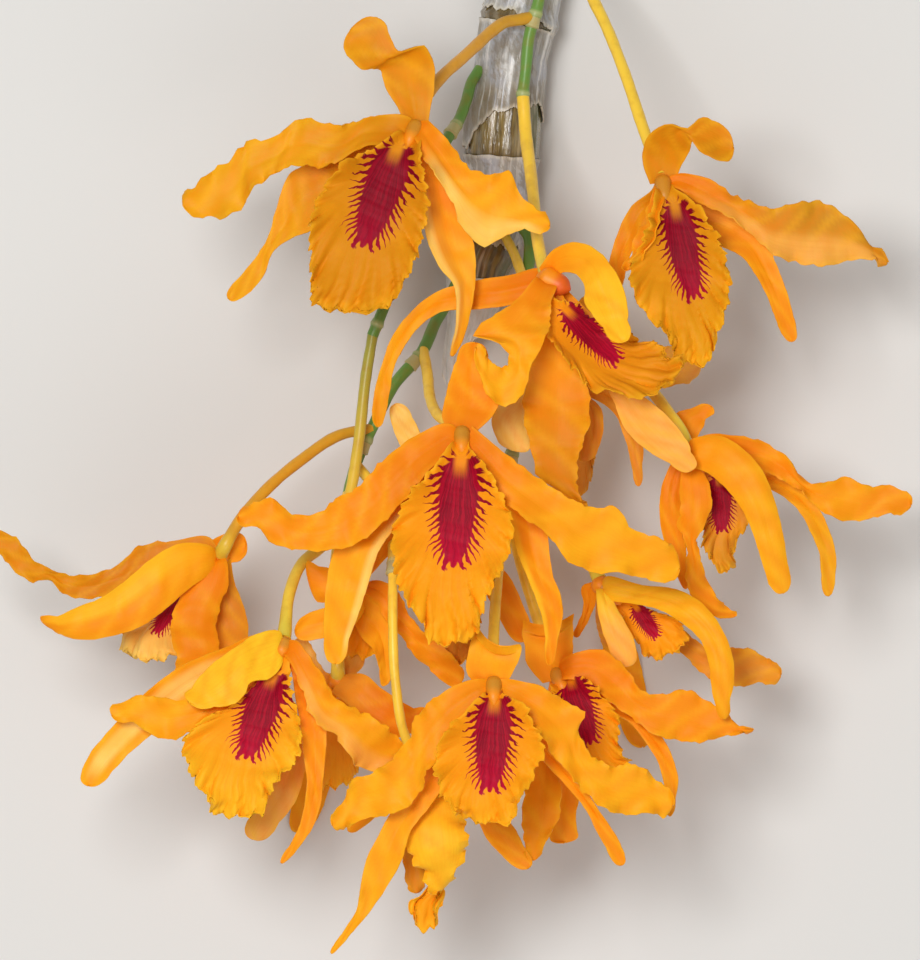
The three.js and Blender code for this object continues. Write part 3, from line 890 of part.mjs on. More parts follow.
// A dry sheath: a sheet wrapped over the top and flanks of the cane, open below, with a torn hem.
function sheathSolid([from, to, flare], thick, extra = 0) {
  const rows = 4;
  const grid = [];
  for (let i = 0; i < rows; i++) {
    const t = i / (rows - 1);
    const row = [];
    for (let j = 0; j <= SHEATH_CELLS; j++) {
      const turn = THREE.MathUtils.degToRad(SHEATH_REACH * ((2 * j) / SHEATH_CELLS - 1));
      const torn = i === rows - 1 ? 1.1 * Math.sin(j * 2.4) : 0;
      const y = THREE.MathUtils.lerp(from, to, t) + torn;
      const [x, , radius] = caneAt(y);
      const ahead = caneAt(y + 1);
      const behind = caneAt(y - 1);
      const across = vec([ahead[1] - behind[1], behind[0] - ahead[0], 0]).normalize();
      const crease = SHEATH_CREASE * Math.sin(j * 3.1 + i);
      const reach = radius + GAP + SHEATH_PLAY + SHEATH / 2 + flare * t * t + crease;
      const p = vec([x, y, CANE_HEIGHT + Math.cos(turn) * reach]);
      row.push(p.addScaledVector(across, Math.sin(turn) * reach));
    }
    grid.push(row);
  }
  return sheet(grid, thick + extra);
}

function largest(solid) {
  const bodies = solid.decompose();
  return bodies.reduce((best, body) => (body.volume() > best.volume() ? body : best), bodies[0]);
}

// The bodies of a cut that are worth keeping, largest first.
function kept(solid) {
  const worth = solid.decompose().filter((body) => body.volume() > LEAST_SCRAP);
  return worth.sort((a, b) => b.volume() - a.volume());
}

function meshOf(name, solid, material) {
  const { vertProperties, triVerts, numProp } = solid.getMesh();
  const points = new Float32Array((vertProperties.length / numProp) * 3);
  for (let i = 0; i < points.length / 3; i++) {
    points.set(vertProperties.subarray(i * numProp, i * numProp + 3), i * 3);
  }
  const geometry = new THREE.BufferGeometry()
    .setAttribute("position", new THREE.BufferAttribute(points, 3))
    .setIndex(new THREE.BufferAttribute(new Uint32Array(triVerts), 1));
  geometry.computeVertexNormals();
  const mesh = new THREE.Mesh(geometry, material);
  mesh.name = name;
  return mesh;
}

const orchid = new THREE.Group();
const add = (name, solid, material) =>
  orchid.add(meshOf(name, largest(solid.simplify(SIMPLER)), material));

const caneClearance = tube(caneRings(GAP));
add("cane", tube(caneRings(0)).subtract(floor), OLIVE);
SHEATHS.forEach((row, i) => {
  add(`sheath_${i + 1}`, sheathSolid(row, SHEATH).subtract(caneClearance), PAPER);
});

for (const [name, bloom] of Object.entries(BLOOMS)) {
  add(name, bloomSolid(bloom), name.at(-1) < "k" ? ORANGE : DEEP_ORANGE);
}

let noStems = caneClearance;
for (const row of SHEATHS) noStems = noStems.add(sheathSolid(row, SHEATH, 2 * GAP));
for (const bloom of Object.values(BLOOMS)) noStems = noStems.add(bloomClearance(bloom));
for (const [name, stems] of Object.entries(RACEMES)) {
  const ended = stems.map(({ at, r, to }) => ({ r, at: to ? [...at, BLOOMS[to].heart] : at }));
  const whole = ended.map(stem).reduce((sum, one) => sum.add(one));
  add(name, kept(whole.subtract(noStems))[0], name === "raceme_5" ? YELLOW : GREEN);
}

// The origin lies in the middle of the box's underside.
const box = new THREE.Box3().setFromObject(orchid);
const middle = box.getCenter(new THREE.Vector3());
orchid.position.set(-middle.x, -middle.y, -box.min.z);

export default orchid;
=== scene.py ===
"""A cut pendent cane of a dendrobium orchid with its flower clusters, laid down and seen from straight above.

Tables are in millimetres, in the growing frame: +X right, +Y towards the cane's cut end and +Z up,
with z = 0 on the surface it lies on. Everything is moved to the CAD's frame, in metres, as it is made.
"""
import math
from collections import namedtuple
from types import SimpleNamespace

import bpy
import numpy as np
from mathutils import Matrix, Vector


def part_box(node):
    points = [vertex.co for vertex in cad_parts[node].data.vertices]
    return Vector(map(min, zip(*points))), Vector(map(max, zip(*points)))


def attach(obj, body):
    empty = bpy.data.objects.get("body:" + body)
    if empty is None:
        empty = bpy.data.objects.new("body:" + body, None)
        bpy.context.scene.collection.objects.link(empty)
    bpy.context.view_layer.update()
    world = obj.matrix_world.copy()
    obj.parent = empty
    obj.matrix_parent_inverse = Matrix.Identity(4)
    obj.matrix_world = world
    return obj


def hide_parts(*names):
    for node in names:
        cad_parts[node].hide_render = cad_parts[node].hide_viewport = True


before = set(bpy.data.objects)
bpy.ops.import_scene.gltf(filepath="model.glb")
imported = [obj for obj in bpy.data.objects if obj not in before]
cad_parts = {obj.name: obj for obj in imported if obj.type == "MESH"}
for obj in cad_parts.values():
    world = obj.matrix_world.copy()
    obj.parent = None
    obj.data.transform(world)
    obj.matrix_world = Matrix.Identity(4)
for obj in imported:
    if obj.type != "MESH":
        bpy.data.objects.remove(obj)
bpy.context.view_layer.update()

MM = 0.001
UP = np.array([0, 0, 1.0])

# Blades: sepals, petals and lips.
ROOT_REACH, ROOT_DEPTH, ROOT_WIDTH = 1.5, 0.4, 2.6  # a blade's rung inside the heart, as in the CAD
BLADE = 0.42  # thickness
REST_BLADE = 0.9  # thickness of the two sepals that the cluster rests on
LEAF_STEP, LEAF_COLUMNS = 0.7, 17  # how fine the mesh of a sepal or petal is
LIP_STEP, LIP_COLUMNS = 0.36, 53
LIP_HUB = 0.3  # share of a lip's length, where its ruffles run outwards from
FAR = 9.0  # a place on a lip that is outside any blotch
LEAF_TIP, LIP_TIP = 2.6, 3.0  # how blunt a tip is: 2 is an ellipse
TIP_ROWS = 8
FRILLS = {"petal": 0.6, "sepal": 0.14, "dorsal": 0.2, "rest": 0.15}  # height of the edges' ruffles

# Hearts and columns.
HEART_RADIUS, HEART_HALF, HEART_ROWS = 1.6, 1.5, 15  # half is the half height of the low fleshy middle
COLUMN_RADIUS, COLUMN_LENGTH, COLUMN_ROWS, COLUMN_SIDES = 1.55, 5.0, 26, 24
PETAL, LIP, COLUMN = range(3)  # a bloom's materials

# Cane, sheaths and stems.
CANE_HEIGHT = 6.4
CANE_SIDES = 12  # of the CAD's cane
CANE_FINE_SIDES, CANE_STEP = 96, 0.5
CANE_GROWN = 0.04  # added to the radii of the CAD's cane
CANE_RIBS = 38
SHEATH_THICKNESS = 0.2
SHEATH_GAP = 0.42  # between the cane and the middle of a sheath's thickness
SHEATH_LEAST_GAP, SHEATH_LEAST_HEIGHT = 0.34, 0.3
SHEATH_REACH = 125  # degrees that a sheath wraps to each side, from the top
SHEATH_HEM_REACH = 95  # degrees to each side that the hem's heights in SHEATHS span
SHEATH_STEP, SHEATH_COLUMNS = 0.3, 150
STEM_SIDES, STEM_STEP = 16, 0.5
STEM_SHORT = 2.3 - 0.6  # a stem ends a little inside the CAD's heart, whose radius is 2.3
JOINT_HALF, JOINT_RISE = 0.45, 0.28
BRACT_LENGTH, BRACT_ROWS, BRACT_SIDES = 2.6, 8, 14

# The picture.
PHOTO_SCALE = 6.0  # pixels a millimetre
PHOTO_HEIGHT = 960  # pixels
CAMERA_FROM = 3.0  # metres above the blooms
FOCUS_HEIGHT = 48.0  # mm, where the picture has exactly PHOTO_SCALE
FLOOR_HALF = 3.0  # metres
FLOOR_DROP = 0.0002  # metres that the floor lies under the cane
LIGHTS = {  # place, size and power
    "key": ((-0.2, 0.16, 1.0), 0.35, 6.3),
    "fill": ((0.3, -0.6, 0.9), 0.9, 2.8),
}
LIGHTS_AIM = (0, 0, 0.03)
STUDIO_LIGHT, STUDIO_STRENGTH = (1.0, 0.98, 0.95, 1), 0.34

# sRGB colours of the blooms
ORANGE = (244, 146, 14)
DEEP = (238, 128, 10)
# This darker orange is painted shade: it stands in for the dimmer light on the upper blooms A, B and C, and on
# E's petal tip.
AMBER_SHADE = (216, 137, 13)
HONEY = (232, 158, 20)
RED_ORANGE = (232, 98, 22)
GOLD = (250, 166, 20)
YELLOW = (255, 190, 34)
# This bright lemon yellow is partly the sepals' own yellow and partly a painted highlight where F's dorsal
# sepal and I's sepal are lit full on.
LEMON_HIGHLIGHT = (255, 212, 44)
PALE = (255, 214, 112)
TAN = (222, 142, 44)
PEACH = (250, 176, 78)
OCHRE = (206, 138, 30)
CRIMSON = (172, 6, 40)
DARK_CRIMSON = (120, 2, 28)
PINK = (206, 14, 62)
# of the stems, from the root of a stem to its end
GREEN_STALK = ((104, 148, 64),) * 2
YELLOW_STALK = ((252, 208, 62),) * 2
OCHRE_STALK = ((214, 160, 40), (226, 160, 36))
OLIVE_STALK = ((160, 156, 58), (238, 200, 64))
LIME = (216, 206, 66)
JOINT_GREEN = (196, 196, 140)
BRACT = (186, 178, 120)
BROWN = (176, 104, 30)
# of the cane
CANE_DARK, CANE_LIGHT, CANE_OLIVE = (84, 68, 36), (146, 126, 74), (92, 100, 36)
CANE_CLOUD, CANE_FILM_AND_HIGHLIGHT, CANE_RING = (150, 140, 112), (206, 198, 176), (96, 78, 44)
# of the sheaths
SHEATH_GREY, SHEATH_LIGHT, SHEATH_BLUE = (158, 154, 146), (206, 205, 200), (176, 180, 190)
SHEATH_STAIN, SHEATH_WHITE, SHEATH_LINE = (134, 120, 92), (226, 224, 218), (126, 120, 108)
SHEATH_RIDGE, SHEATH_CLEAR = (238, 236, 230), (122, 104, 66)
SHEATH_TORN, SHEATH_HEM_AND_HIGHLIGHT = (236, 233, 226), (226, 218, 198)
FLOOR = (222, 221, 218)

# The cane: (x, y, radius) along its axis, from the cut end to the tip.
CANE = [
    (13, 93, 6.5), (12.8, 91.8, 5.95), (11.8, 86, 5.85), (10.3, 79.4, 5.8), (9.95, 77.8, 6.5),
    (9.6, 76.2, 5.9), (8.75, 71.7, 5.6), (7.9, 65, 5.7), (7.5, 62, 6.1), (7.1, 56, 6.15),
    (7, 54.6, 6.1), (6.9, 53, 5.6), (6.3, 46.5, 5.5), (4.7, 41, 5.3), (4.1, 39.4, 5.7),
    (3.2, 37, 5.4), (2.8, 34.5, 4.9), (2.3, 32, 4.1), (1.6, 27.8, 3.1), (0.3, 24, 2.1),
    (-0.8, 20, 1.2), (-1, 16.8, 0.8),
]
CANE_NODES = (92.4, 77.8, 54.4, 39.4)
# Papery sheaths: (y at the cut-end side, how far the tip side stands off, y of the torn hem at
# turns round the cane from the left flank to the right one).
SHEATHS = [
    (91, 0.1, (79, 78.7, 78.8, 78.8, 78.4, 76.4, 75.6)),
    (76.8, 0.1, (56, 55.8, 60.6, 62.6, 62.8, 64.6, 61)),
    (54.6, 0.1, (40.6, 40.4, 40.6, 40.4, 40.2, 40.8, 41)),
    (34.2, 0.7, (20, 15.4, 15.2, 18.4, 22.6, 26.6, 30)),
]

# Stems, from the root of each stem outwards: (bloom that it ends at or None, radius at both ends,
# colours, [(x, y, z), ...]).
RACEMES = {
    "raceme_1": [
        (None, (1.05, 0.95), GREEN_STALK, [
            (14.7, 89.6, 12.6), (14.1, 85.4, 14.8), (13.1, 80, 15.8), (11.6, 74.4, 16.2),
            (11.1, 69.4, 16.4), (10.5, 64.2, 16.8),
        ]),
        ("bloom_a", (1, 1.15), OCHRE_STALK, [
            (12.3, 78, 15.8), (10, 77.5, 17.4), (7.8, 77.1, 19.4), (5.3, 75.4, 22.6), (3.1, 73.3, 26),
            (0.8, 71.1, 30), (-4.2, 66.1, 37.2), (-7.4, 60.6, 41.4),
        ]),
        ("bloom_b", (0.95, 1.1), YELLOW_STALK, [
            (14.4, 87.6, 13.8), (19, 86.2, 16.6), (23, 79.5, 22.4), (27.5, 68.5, 31), (31.3, 57, 37.3),
            (33.4, 51.6, 39.4),
        ]),
        ("bloom_c", (1.05, 1.1), YELLOW_STALK, [
            (10.6, 64.6, 16.8), (11.1, 57.8, 19), (11.7, 53, 23.6), (12.3, 47.5, 30), (13, 40, 38.4),
            (13.8, 36, 42.6),
        ]),
    ],
    "raceme_2": [
        (None, (0.95, 0.95), GREEN_STALK, [
            (3.4, 69.4, 9.6), (2, 67.2, 11), (1.2, 64.4, 13), (-0.2, 60.6, 16), (-2.6, 56.7, 19.4),
            (-9.4, 42.5, 26), (-12.3, 30.3, 27), (-14.7, 24.2, 27),
        ]),
        ("bloom_f", (0.9, 1.1), OLIVE_STALK, [
            (-14.6, 24.6, 27), (-15.7, 18, 27.4), (-17.2, 5, 29), (-18.7, -3, 31), (-22.6, -10.6, 34),
            (-26.4, -13.9, 37.5), (-28.4, -18.6, 41.5), (-29.2, -25, 45.2),
        ]),
    ],
    "raceme_3": [
        (None, (1.05, 0.95), GREEN_STALK, [
            (-0.6, 33, 9.4), (-2.2, 30, 12.6), (-4.2, 26.4, 16.4), (-6.3, 21.7, 20),
            (-11.2, 15.8, 22.5), (-14.3, 9.7, 23.5), (-17.7, 2, 24.5), (-18.8, -2.5, 25),
        ]),
        ("bloom_d", (0.9, 1.05), YELLOW_STALK, [
            (-6.2, 21.9, 20), (-5.5, 18, 25.6), (-5, 13.8, 34.5), (-3.6, 10.8, 44), (-0.9, 8.6, 51),
        ]),
        ("bloom_e", (0.9, 1.15), OCHRE_STALK, [
            (-14.9, 8.6, 23.8), (-20, 7.6, 26), (-26.7, 3.3, 29), (-33.3, -2.5, 33), (-37.6, -8, 36.5),
            (-39.4, -11.2, 37.4),
        ]),
        ("bloom_l", (0.95, 1.05), YELLOW_STALK, [(-18.8, -2.3, 25), (-18.6, -8, 30), (-17.2, -15.5, 36.2)]),
        ("bloom_k", (1, 1.15), YELLOW_STALK, [
            (-18.8, -2.5, 25), (-20.6, -12, 27.5), (-21, -22, 32.5), (-20.5, -29, 38),
            (-20.4, -31.6, 38.6),
        ]),
        ("bloom_m", (0.85, 0.9), YELLOW_STALK, [
            (-17.4, 2.6, 24.5), (-12.6, -3.5, 31), (-11.3, -10.5, 41), (-11.2, -16, 46),
            (-11.2, -24, 49), (-10.7, -34, 50), (-9, -43, 49.4), (-6.4, -47.4, 47.2),
        ]),
    ],
    "raceme_4": [
        (None, (1.05, 1), GREEN_STALK, [
            (9.2, 44, 11.4), (11.6, 41, 13.6), (11.7, 37.2, 15.6), (10.9, 33, 17.4), (10.4, 28, 20),
            (10.2, 20, 24), (9.7, 11.5, 26.8), (8.7, 4.2, 28), (7.5, -3.3, 29),
        ]),
        ("bloom_g", (0.9, 1.05), YELLOW_STALK, [
            (7.6, -3, 29), (6.9, -9.6, 35), (6.3, -15.8, 43.5), (5.7, -24, 50), (5.5, -31.6, 54.4),
        ]),
        ("bloom_h", (0.95, 1.05), YELLOW_STALK, [
            (7.5, -3.3, 29), (10.2, -14, 29.4), (13.2, -24, 31), (15.5, -30.4, 34.2),
        ]),
        ("bloom_i", (0.95, 1.15), YELLOW_STALK, [
            (8, -0.6, 28.4), (13, -6.5, 29.5), (18.6, -11.6, 32), (22.4, -14.8, 33.4),
        ]),
        ("bloom_j", (0.95, 1.15), YELLOW_STALK, [
            (10.7, 30.4, 18.8), (15.6, 28.4, 21.2), (23, 23, 26), (30.4, 16.8, 34.5),
            (34.6, 11.6, 38.8), (37.2, 7.4, 40.4),
        ]),
        ("bloom_o", (0.9, 1.05), YELLOW_STALK, [(7.7, -2.3, 28.8), (5.4, -8, 32), (3.9, -10.8, 34.8)]),
    ],
    "raceme_5": [
        ("bloom_n", (0.8, 1), YELLOW_STALK, [
            (7.4, 41.6, 10.8), (9, 38.4, 15.2), (10.4, 34.6, 19.8), (12.2, 29.6, 23.6),
            (15.4, 23.6, 27), (18.6, 17.8, 28.8),
        ]),
    ],
}
# Joints of the stems, where a bract sits: (raceme, number of the stem) to shares of its length.
JOINTS = {
    ("raceme_1", 0): (0.45, 0.97), ("raceme_2", 0): (0.24, 0.96), ("raceme_3", 0): (0.4, 0.78),
    ("raceme_3", 5): (0.42,), ("raceme_4", 0): (0.6, 0.85),
}

# Blooms. heart is where the blades meet, face the way the bloom looks, and lipward the way its lip
# points. A blade is (kind, cup, wave, bow, look, rungs from base to tip), and an empty look has the
# usual colours. A rung runs from the blade's left edge to its right edge: (left x, left y, right x,
# right y, middle z, right z - left z). A look's blotch is (where it starts, where it ends, how wide
# it is).
# A look's band and edge lay stripes of colour along a blade; the pale and yellow ones are painted highlights.
# The amber tints of the upper blooms are painted shade.
BLOOMS = {
    "bloom_a": dict(heart=(-7.6, 58.6, 44), face=(-0.1, 0, 1), lipward=(-0.35, -1, 0.2), blades=[
        ("dorsal", 0.12, 0, 1.2, dict(base=AMBER_SHADE, tip=AMBER_SHADE), [
            (-9.4, 59.5, -5.4, 58.8, 44), (-10.4, 62.2, -4.9, 62.2, 43.8), (-12.3, 65.1, -4.3, 65.3, 44),
            (-13.3, 68.3, -4.6, 70.2, 45, 0.8), (-14.2, 68.6, -6, 72.4, 46.5, 1),
            (-15, 68.5, -10.3, 71.5, 47.6, 0.6), (-16.4, 68.4, -11.6, 73.8, 48, -0.8),
            (-17.9, 69.9, -12.6, 76.3, 47.8, -1), (-18.7, 72.2, -15.4, 76.6, 47.2),
        ]),
        ("petal", 0.12, 0.7, 0.8, dict(base=AMBER_SHADE, tip=HONEY, frill=0.9), [
            (-9.2, 56.2, -8.4, 60.4, 45, -1), (-15.4, 55.6, -14.2, 60.9, 46.4, -1.6),
            (-22.2, 52.4, -20.4, 59, 47.4, -1.2), (-28.1, 52.2, -26.9, 60.3, 47.6, -1),
            (-31.7, 50.7, -30.5, 57.2, 47.2, -1.4), (-34.5, 48.3, -35.8, 56.4, 46.8, -1),
            (-36.4, 45.8, -38, 53.4, 46.2, -1.4), (-38.8, 43.8, -41.1, 52, 45.6, -0.4),
            (-42.3, 44, -44.1, 48.9, 45), (-44.7, 44.9, -45.7, 47.1, 44.6),
        ]),
        ("sepal", 0.15, 0, 0.8, dict(base=AMBER_SHADE, tip=HONEY), [
            (-8.6, 54.6, -11.6, 57.8, 43), (-13.6, 49.4, -18, 56.4, 42.4), (-20, 45.4, -25, 53, 42.4, -1),
            (-25, 41.6, -28.9, 50.5, 42.6, -1.4), (-28.5, 40.2, -30.9, 44.6, 42.2, -0.8),
            (-31.3, 38, -32.2, 40.3, 41.4), (-32.6, 34.6, -34.3, 37, 40.6), (-34.5, 32, -36.6, 34.2, 39.8),
            (-37.4, 30.3, -38.5, 31.5, 39),
        ]),
        ("petal", 0.15, 0.8, 0.8, dict(tip=GOLD, band=(0.35, 1.2, PALE)), [
            (-5.8, 60.2, -7.6, 57, 45.4, 1), (-3.4, 57.8, -6.3, 54.4, 47, 2),
            (-0.8, 55.4, -4.2, 50.6, 48.2, 2.4), (1.8, 51.6, -1.4, 46.8, 49, 1.4),
            (5.8, 51, 0.2, 42.4, 49.2, 0.6), (8.5, 51.2, 4.2, 38.9, 49, -0.6), (10, 47.7, 7.7, 40.8, 48.6),
            (12.8, 45.1, 10.7, 41.7, 48.2), (14.3, 43.4, 13.7, 41.9, 47.8),
        ]),
        ("sepal", 0.18, 0, 0.8, dict(tip=GOLD, band=(0.1, 0.9, TAN), edge=(1, PALE)), [
            (-4.8, 57, -8.4, 56, 42.6), (-1.8, 51.6, -6.8, 51.8, 43.2, 1), (0.2, 46.4, -6.4, 46, 44, 1.6),
            (1.6, 42, -5.6, 40.6, 44.8, 1.6), (2.5, 38, -3.6, 35.8, 45.4, 1), (2.6, 33.5, -1, 32.4, 45.6, 0.6),
            (2, 29, -0.6, 28.6, 45), (0.9, 24.6, -0.9, 24.4, 44), (-0.3, 21.8, -1.6, 21.5, 43.2),
        ]),
        ("lip", 0.5, 0.9, 1.6, dict(blotch=((-10.4, 55.6), (-16.9, 37.2), 12.4), base=AMBER_SHADE, tip=AMBER_SHADE), [
            (-6.4, 57.2, -10.4, 57.8, 46), (-6.7, 53.4, -14.2, 55.4, 47.6), (-5.7, 49.6, -19.4, 52.4, 49),
            (-5.4, 45, -23.2, 48, 50), (-6.3, 40.6, -24.9, 42.6, 50.6), (-7.6, 36.4, -24.9, 37, 51),
            (-9.6, 32.6, -24.6, 32, 51), (-13.3, 29.6, -22.6, 29.6, 50.6),
        ]),
    ]),
    "bloom_b": dict(heart=(34, 49.4, 41), face=(-0.1, 0, 1), lipward=(0.15, -1, 0.2),
        look=dict(back=OCHRE, cap=OCHRE), blades=[
        ("dorsal", 0.25, 0, 1, dict(base=AMBER_SHADE, tip=AMBER_SHADE), [
            (31.8, 49.4, 36, 49.8, 41), (30.6, 52.6, 36.9, 52.4, 41.6), (30.7, 55.6, 38.3, 54.8, 43.4),
            (32.2, 58.2, 38.6, 56.3, 45.4), (35.2, 59.3, 38.7, 56.7, 46.6, -0.6), (38, 58.6, 38.9, 56.2, 46.8),
            (39.8, 60.3, 39.9, 54.9, 46.6, 0.8), (42, 60.1, 42.2, 53.7, 46.2, 1.2),
            (44.6, 58.2, 44.6, 53.4, 45.4, 0.8),
        ]),
        ("sepal", 0.2, 0, 0.8, dict(base=AMBER_SHADE, tip=ORANGE), [
            (34.4, 47.6, 32, 48.4, 39.4), (32.2, 45, 28.7, 45.8, 38.6, -1), (30, 40.6, 26.2, 40.8, 38, -1.4),
            (28, 36.4, 25, 36.4, 37), (26.9, 32.6, 25.2, 32.8, 36),
        ]),
        ("petal", 0.3, 0.4, 0.6, {}, [
            (34.4, 48, 32.4, 48.6, 42.6, -1), (33.3, 43.8, 30.8, 44.2, 44.6, -2.4),
            (32.3, 40.2, 29.4, 40.2, 45.8, -2.6), (30.8, 37.6, 28, 37, 46, -1.6),
            (29.2, 35.6, 27.4, 35.6, 45.6),
        ]),
        ("petal", 0.12, 0.8, 1.6, dict(tip=OCHRE, band=(0.1, 1.2, PEACH), frill=0.8), [
            (36.2, 51.2, 35, 48.8, 41.6), (41.6, 50.1, 39.6, 46.6, 42.4, 1), (45.8, 47.7, 44.8, 43.8, 42.8, 1),
            (49.2, 46.2, 48.9, 40.8, 43), (52.4, 45.3, 52.2, 37.8, 43, -0.6),
            (56.3, 46.4, 56.3, 36.2, 42.6, -1), (61.4, 46.1, 61.7, 35.9, 42, -1),
            (65.4, 43.2, 66.2, 36.8, 41.2, -0.6), (68.6, 39.6, 69.2, 36.8, 40.4), (69.9, 37.9, 70.1, 36.8, 40),
        ]),
        ("sepal", 0.2, 0, 0.9, dict(base=TAN, tip=ORANGE), [
            (37, 48.4, 34.8, 46.6, 39), (42.4, 46, 39, 42, 38.8, 1.2), (47.7, 44.3, 43.4, 39.2, 39.2, 1.6),
            (50.8, 40.9, 47, 37.4, 39.8, 1.4), (52.9, 36, 49.8, 33.6, 40.4, 1), (54.6, 31.5, 51.6, 30, 40.4),
            (55.7, 27.4, 53, 26.4, 39.6), (56, 24.4, 54.5, 24, 39),
        ]),
        ("lip", 0.5, 0.9, 1.6, dict(blotch=((35.8, 46), (39.4, 28.6), 9.6), base=AMBER_SHADE, tip=HONEY), [
            (36, 48.6, 32.8, 48, 43.4), (39.4, 45.6, 31.8, 44.6, 45), (42.4, 41.6, 30.9, 40.6, 46.4),
            (44.3, 37.2, 28.4, 36, 47.2), (45, 33.2, 28.6, 32, 47.8), (44.3, 28, 31.2, 27.4, 48.4),
            (42.8, 23.6, 35, 23.2, 48.6), (42, 21, 35.6, 20.8, 48.4),
        ]),
    ]),
    "bloom_c": dict(heart=(14.6, 33.4, 46), face=(0.6, -0.1, 0.8), lipward=(0.9, -0.5, 0.1),
        look=dict(column=5.4, girth=1.5, back=ORANGE, cap=RED_ORANGE, heart=ORANGE), blades=[
        ("dorsal", 0.3, 0, 1.2, dict(base=ORANGE, tip=YELLOW), [
            (13.2, 35.4, 14.6, 32.6, 45.6), (15.6, 38.4, 17.2, 34.6, 47.6), (19.4, 39.6, 19.6, 34, 50),
            (23.2, 37.9, 20.8, 31.9, 52), (26, 34.4, 20.6, 30, 53.2), (27.6, 30.3, 21.8, 27.8, 54),
            (27.9, 26.6, 23.8, 25.4, 54), (27.5, 24.4, 25.6, 24, 53.6),
        ]),
        ("sepal", 0.2, 0, 1, dict(base=DEEP, tip=GOLD), [
            (14.2, 31, 13.6, 35.2, 44.4), (8.3, 29.2, 8.4, 34.2, 43), (2.6, 28.5, 2.6, 33.3, 41.8),
            (-3.3, 28, -4.3, 31.2, 41), (-6.6, 25.8, -8.5, 27.8, 40.6), (-9.1, 22.6, -11.5, 23.6, 40.4),
            (-11, 18.8, -13.2, 18.8, 40.2), (-11.9, 13.9, -14.4, 14, 40), (-13, 9.9, -14.4, 10.3, 39.6),
        ]),
        ("petal", 0.15, 0.5, 0.6, dict(tip=GOLD), [
            (16.2, 32.6, 12.6, 33.6, 48.4), (15.2, 29.6, 9.6, 30.4, 51), (15, 26.6, 4.6, 26.4, 53, -1),
            (14.4, 23.9, 2.2, 24.2, 53.8, -1), (13.3, 21.6, 6.4, 22.8, 54), (12, 19.6, 7.9, 21, 53.8),
            (11.4, 16.6, 8, 19.4, 53.6), (9.8, 13.6, 7.2, 18.8, 53.8), (7.6, 12.1, 6.1, 19, 54.2),
            (5, 13.7, 5.1, 19.8, 54.6), (3.4, 17.2, 4.3, 20.9, 55), (2.6, 20.3, 3.3, 22.3, 55),
        ]),
        ("petal", 0.1, 0.7, 1, dict(base=ORANGE, tip=AMBER_SHADE, fade=1, frill=0.8), [
            (17.4, 30.4, 13.8, 31, 46.8), (18.8, 25.6, 13, 26, 46), (20, 20.6, 12, 20.8, 45.4, 0.8),
            (21.2, 15.8, 10.7, 14.4, 45, 1), (21.7, 9.8, 10.7, 9.8, 45, 0.6), (20.2, 5.4, 12, 4.6, 45),
            (19.5, 1.2, 12.8, 1.2, 44.6), (20, -2.6, 15.6, -1.6, 44), (20.5, -3.9, 18.4, -3.4, 43.4),
        ]),
        ("sepal", 0.15, 0, 1, dict(base=ORANGE, tip=PEACH), [
            (17.6, 32, 14.8, 30, 44.8), (24.6, 24.6, 20.6, 21.4, 45), (30.2, 14.4, 25.6, 13.2, 46),
            (33.9, 11.3, 27.4, 8.7, 46.4), (37, 7.8, 30.9, 5.2, 46.6), (38.5, 4.7, 35, 2.8, 46.4),
            (38.4, 2.7, 37.1, 2.2, 46),
        ]),
        ("lip", 0.25, 0.8, 1.4, dict(blotch=((17.6, 28.6), (27.2, 18.6), 7.6), tip=AMBER_SHADE), [
            (15.4, 30.4, 14, 28, 49.4, 1), (18.8, 28.6, 15.2, 22.8, 50.6, 4), (23, 27, 18.2, 18.6, 50.6, 6.4),
            (27, 24.7, 22.1, 15.9, 51, 6.8), (30.1, 23.7, 26.6, 13.9, 51.2, 6.4),
            (33.4, 22.2, 31, 14, 51.4, 4.6), (35, 20.2, 33.8, 15.6, 51.4, 2.4), (35.6, 19, 35, 17.2, 51.2, 1),
        ]),
    ]),
    "bloom_d": dict(heart=(0.3, 7.4, 54.6), face=(0, 0, 1), lipward=(0, -1, 0.25), blades=[
        ("dorsal", 0.15, 0, 0.8, {}, [
            (-1.8, 7.8, 2.4, 7.8, 54.4), (-3, 10.6, 5.2, 10.4, 54), (-2.6, 13, 6.4, 12.6, 53.4),
            (-1.9, 16, 5.6, 15.8, 52.4), (-0.6, 19.8, 4.6, 19, 51.4), (1.2, 22.2, 3.7, 21.7, 50.6),
        ]),
        ("petal", 0.12, 0.7, 1, {}, [
            (-0.6, 5.6, -1.4, 9.2, 55.4, -0.6), (-4.6, 2, -7.3, 7.5, 56.6, -1),
            (-9, -2.8, -13.5, 2.5, 57.2, -1.2), (-13.2, -7.6, -17.2, -1.2, 57.2, -1),
            (-17.4, -10.6, -20.6, -3.2, 56.8, -1), (-22, -11.7, -23.7, -5.5, 56),
            (-26.8, -11.6, -27.8, -5.6, 55.2), (-31, -10.5, -31.8, -3, 54.4), (-34, -7.8, -34.8, -4.2, 53.8),
            (-35.7, -6.9, -35.9, -5.1, 53.4),
        ]),
        ("sepal", 0.2, 0, 1.2, dict(tip=GOLD, edge=(-1, PALE)), [
            (-0.8, 4.6, -3.2, 6.6, 53), (-6.2, -2.6, -11.4, 0.6, 52.6), (-10.4, -7.4, -17.4, -6, 52.8),
            (-13.6, -12, -21, -11.8, 53, -0.8), (-15.2, -17, -22.2, -17, 52.4, -0.8),
            (-16.8, -22, -22.6, -22.4, 51.6), (-18.5, -26.4, -22.6, -26.6, 50.6),
            (-19.8, -29.3, -21.7, -29.2, 50),
        ]),
        ("petal", 0.12, 0.8, 1, dict(tip=GOLD), [
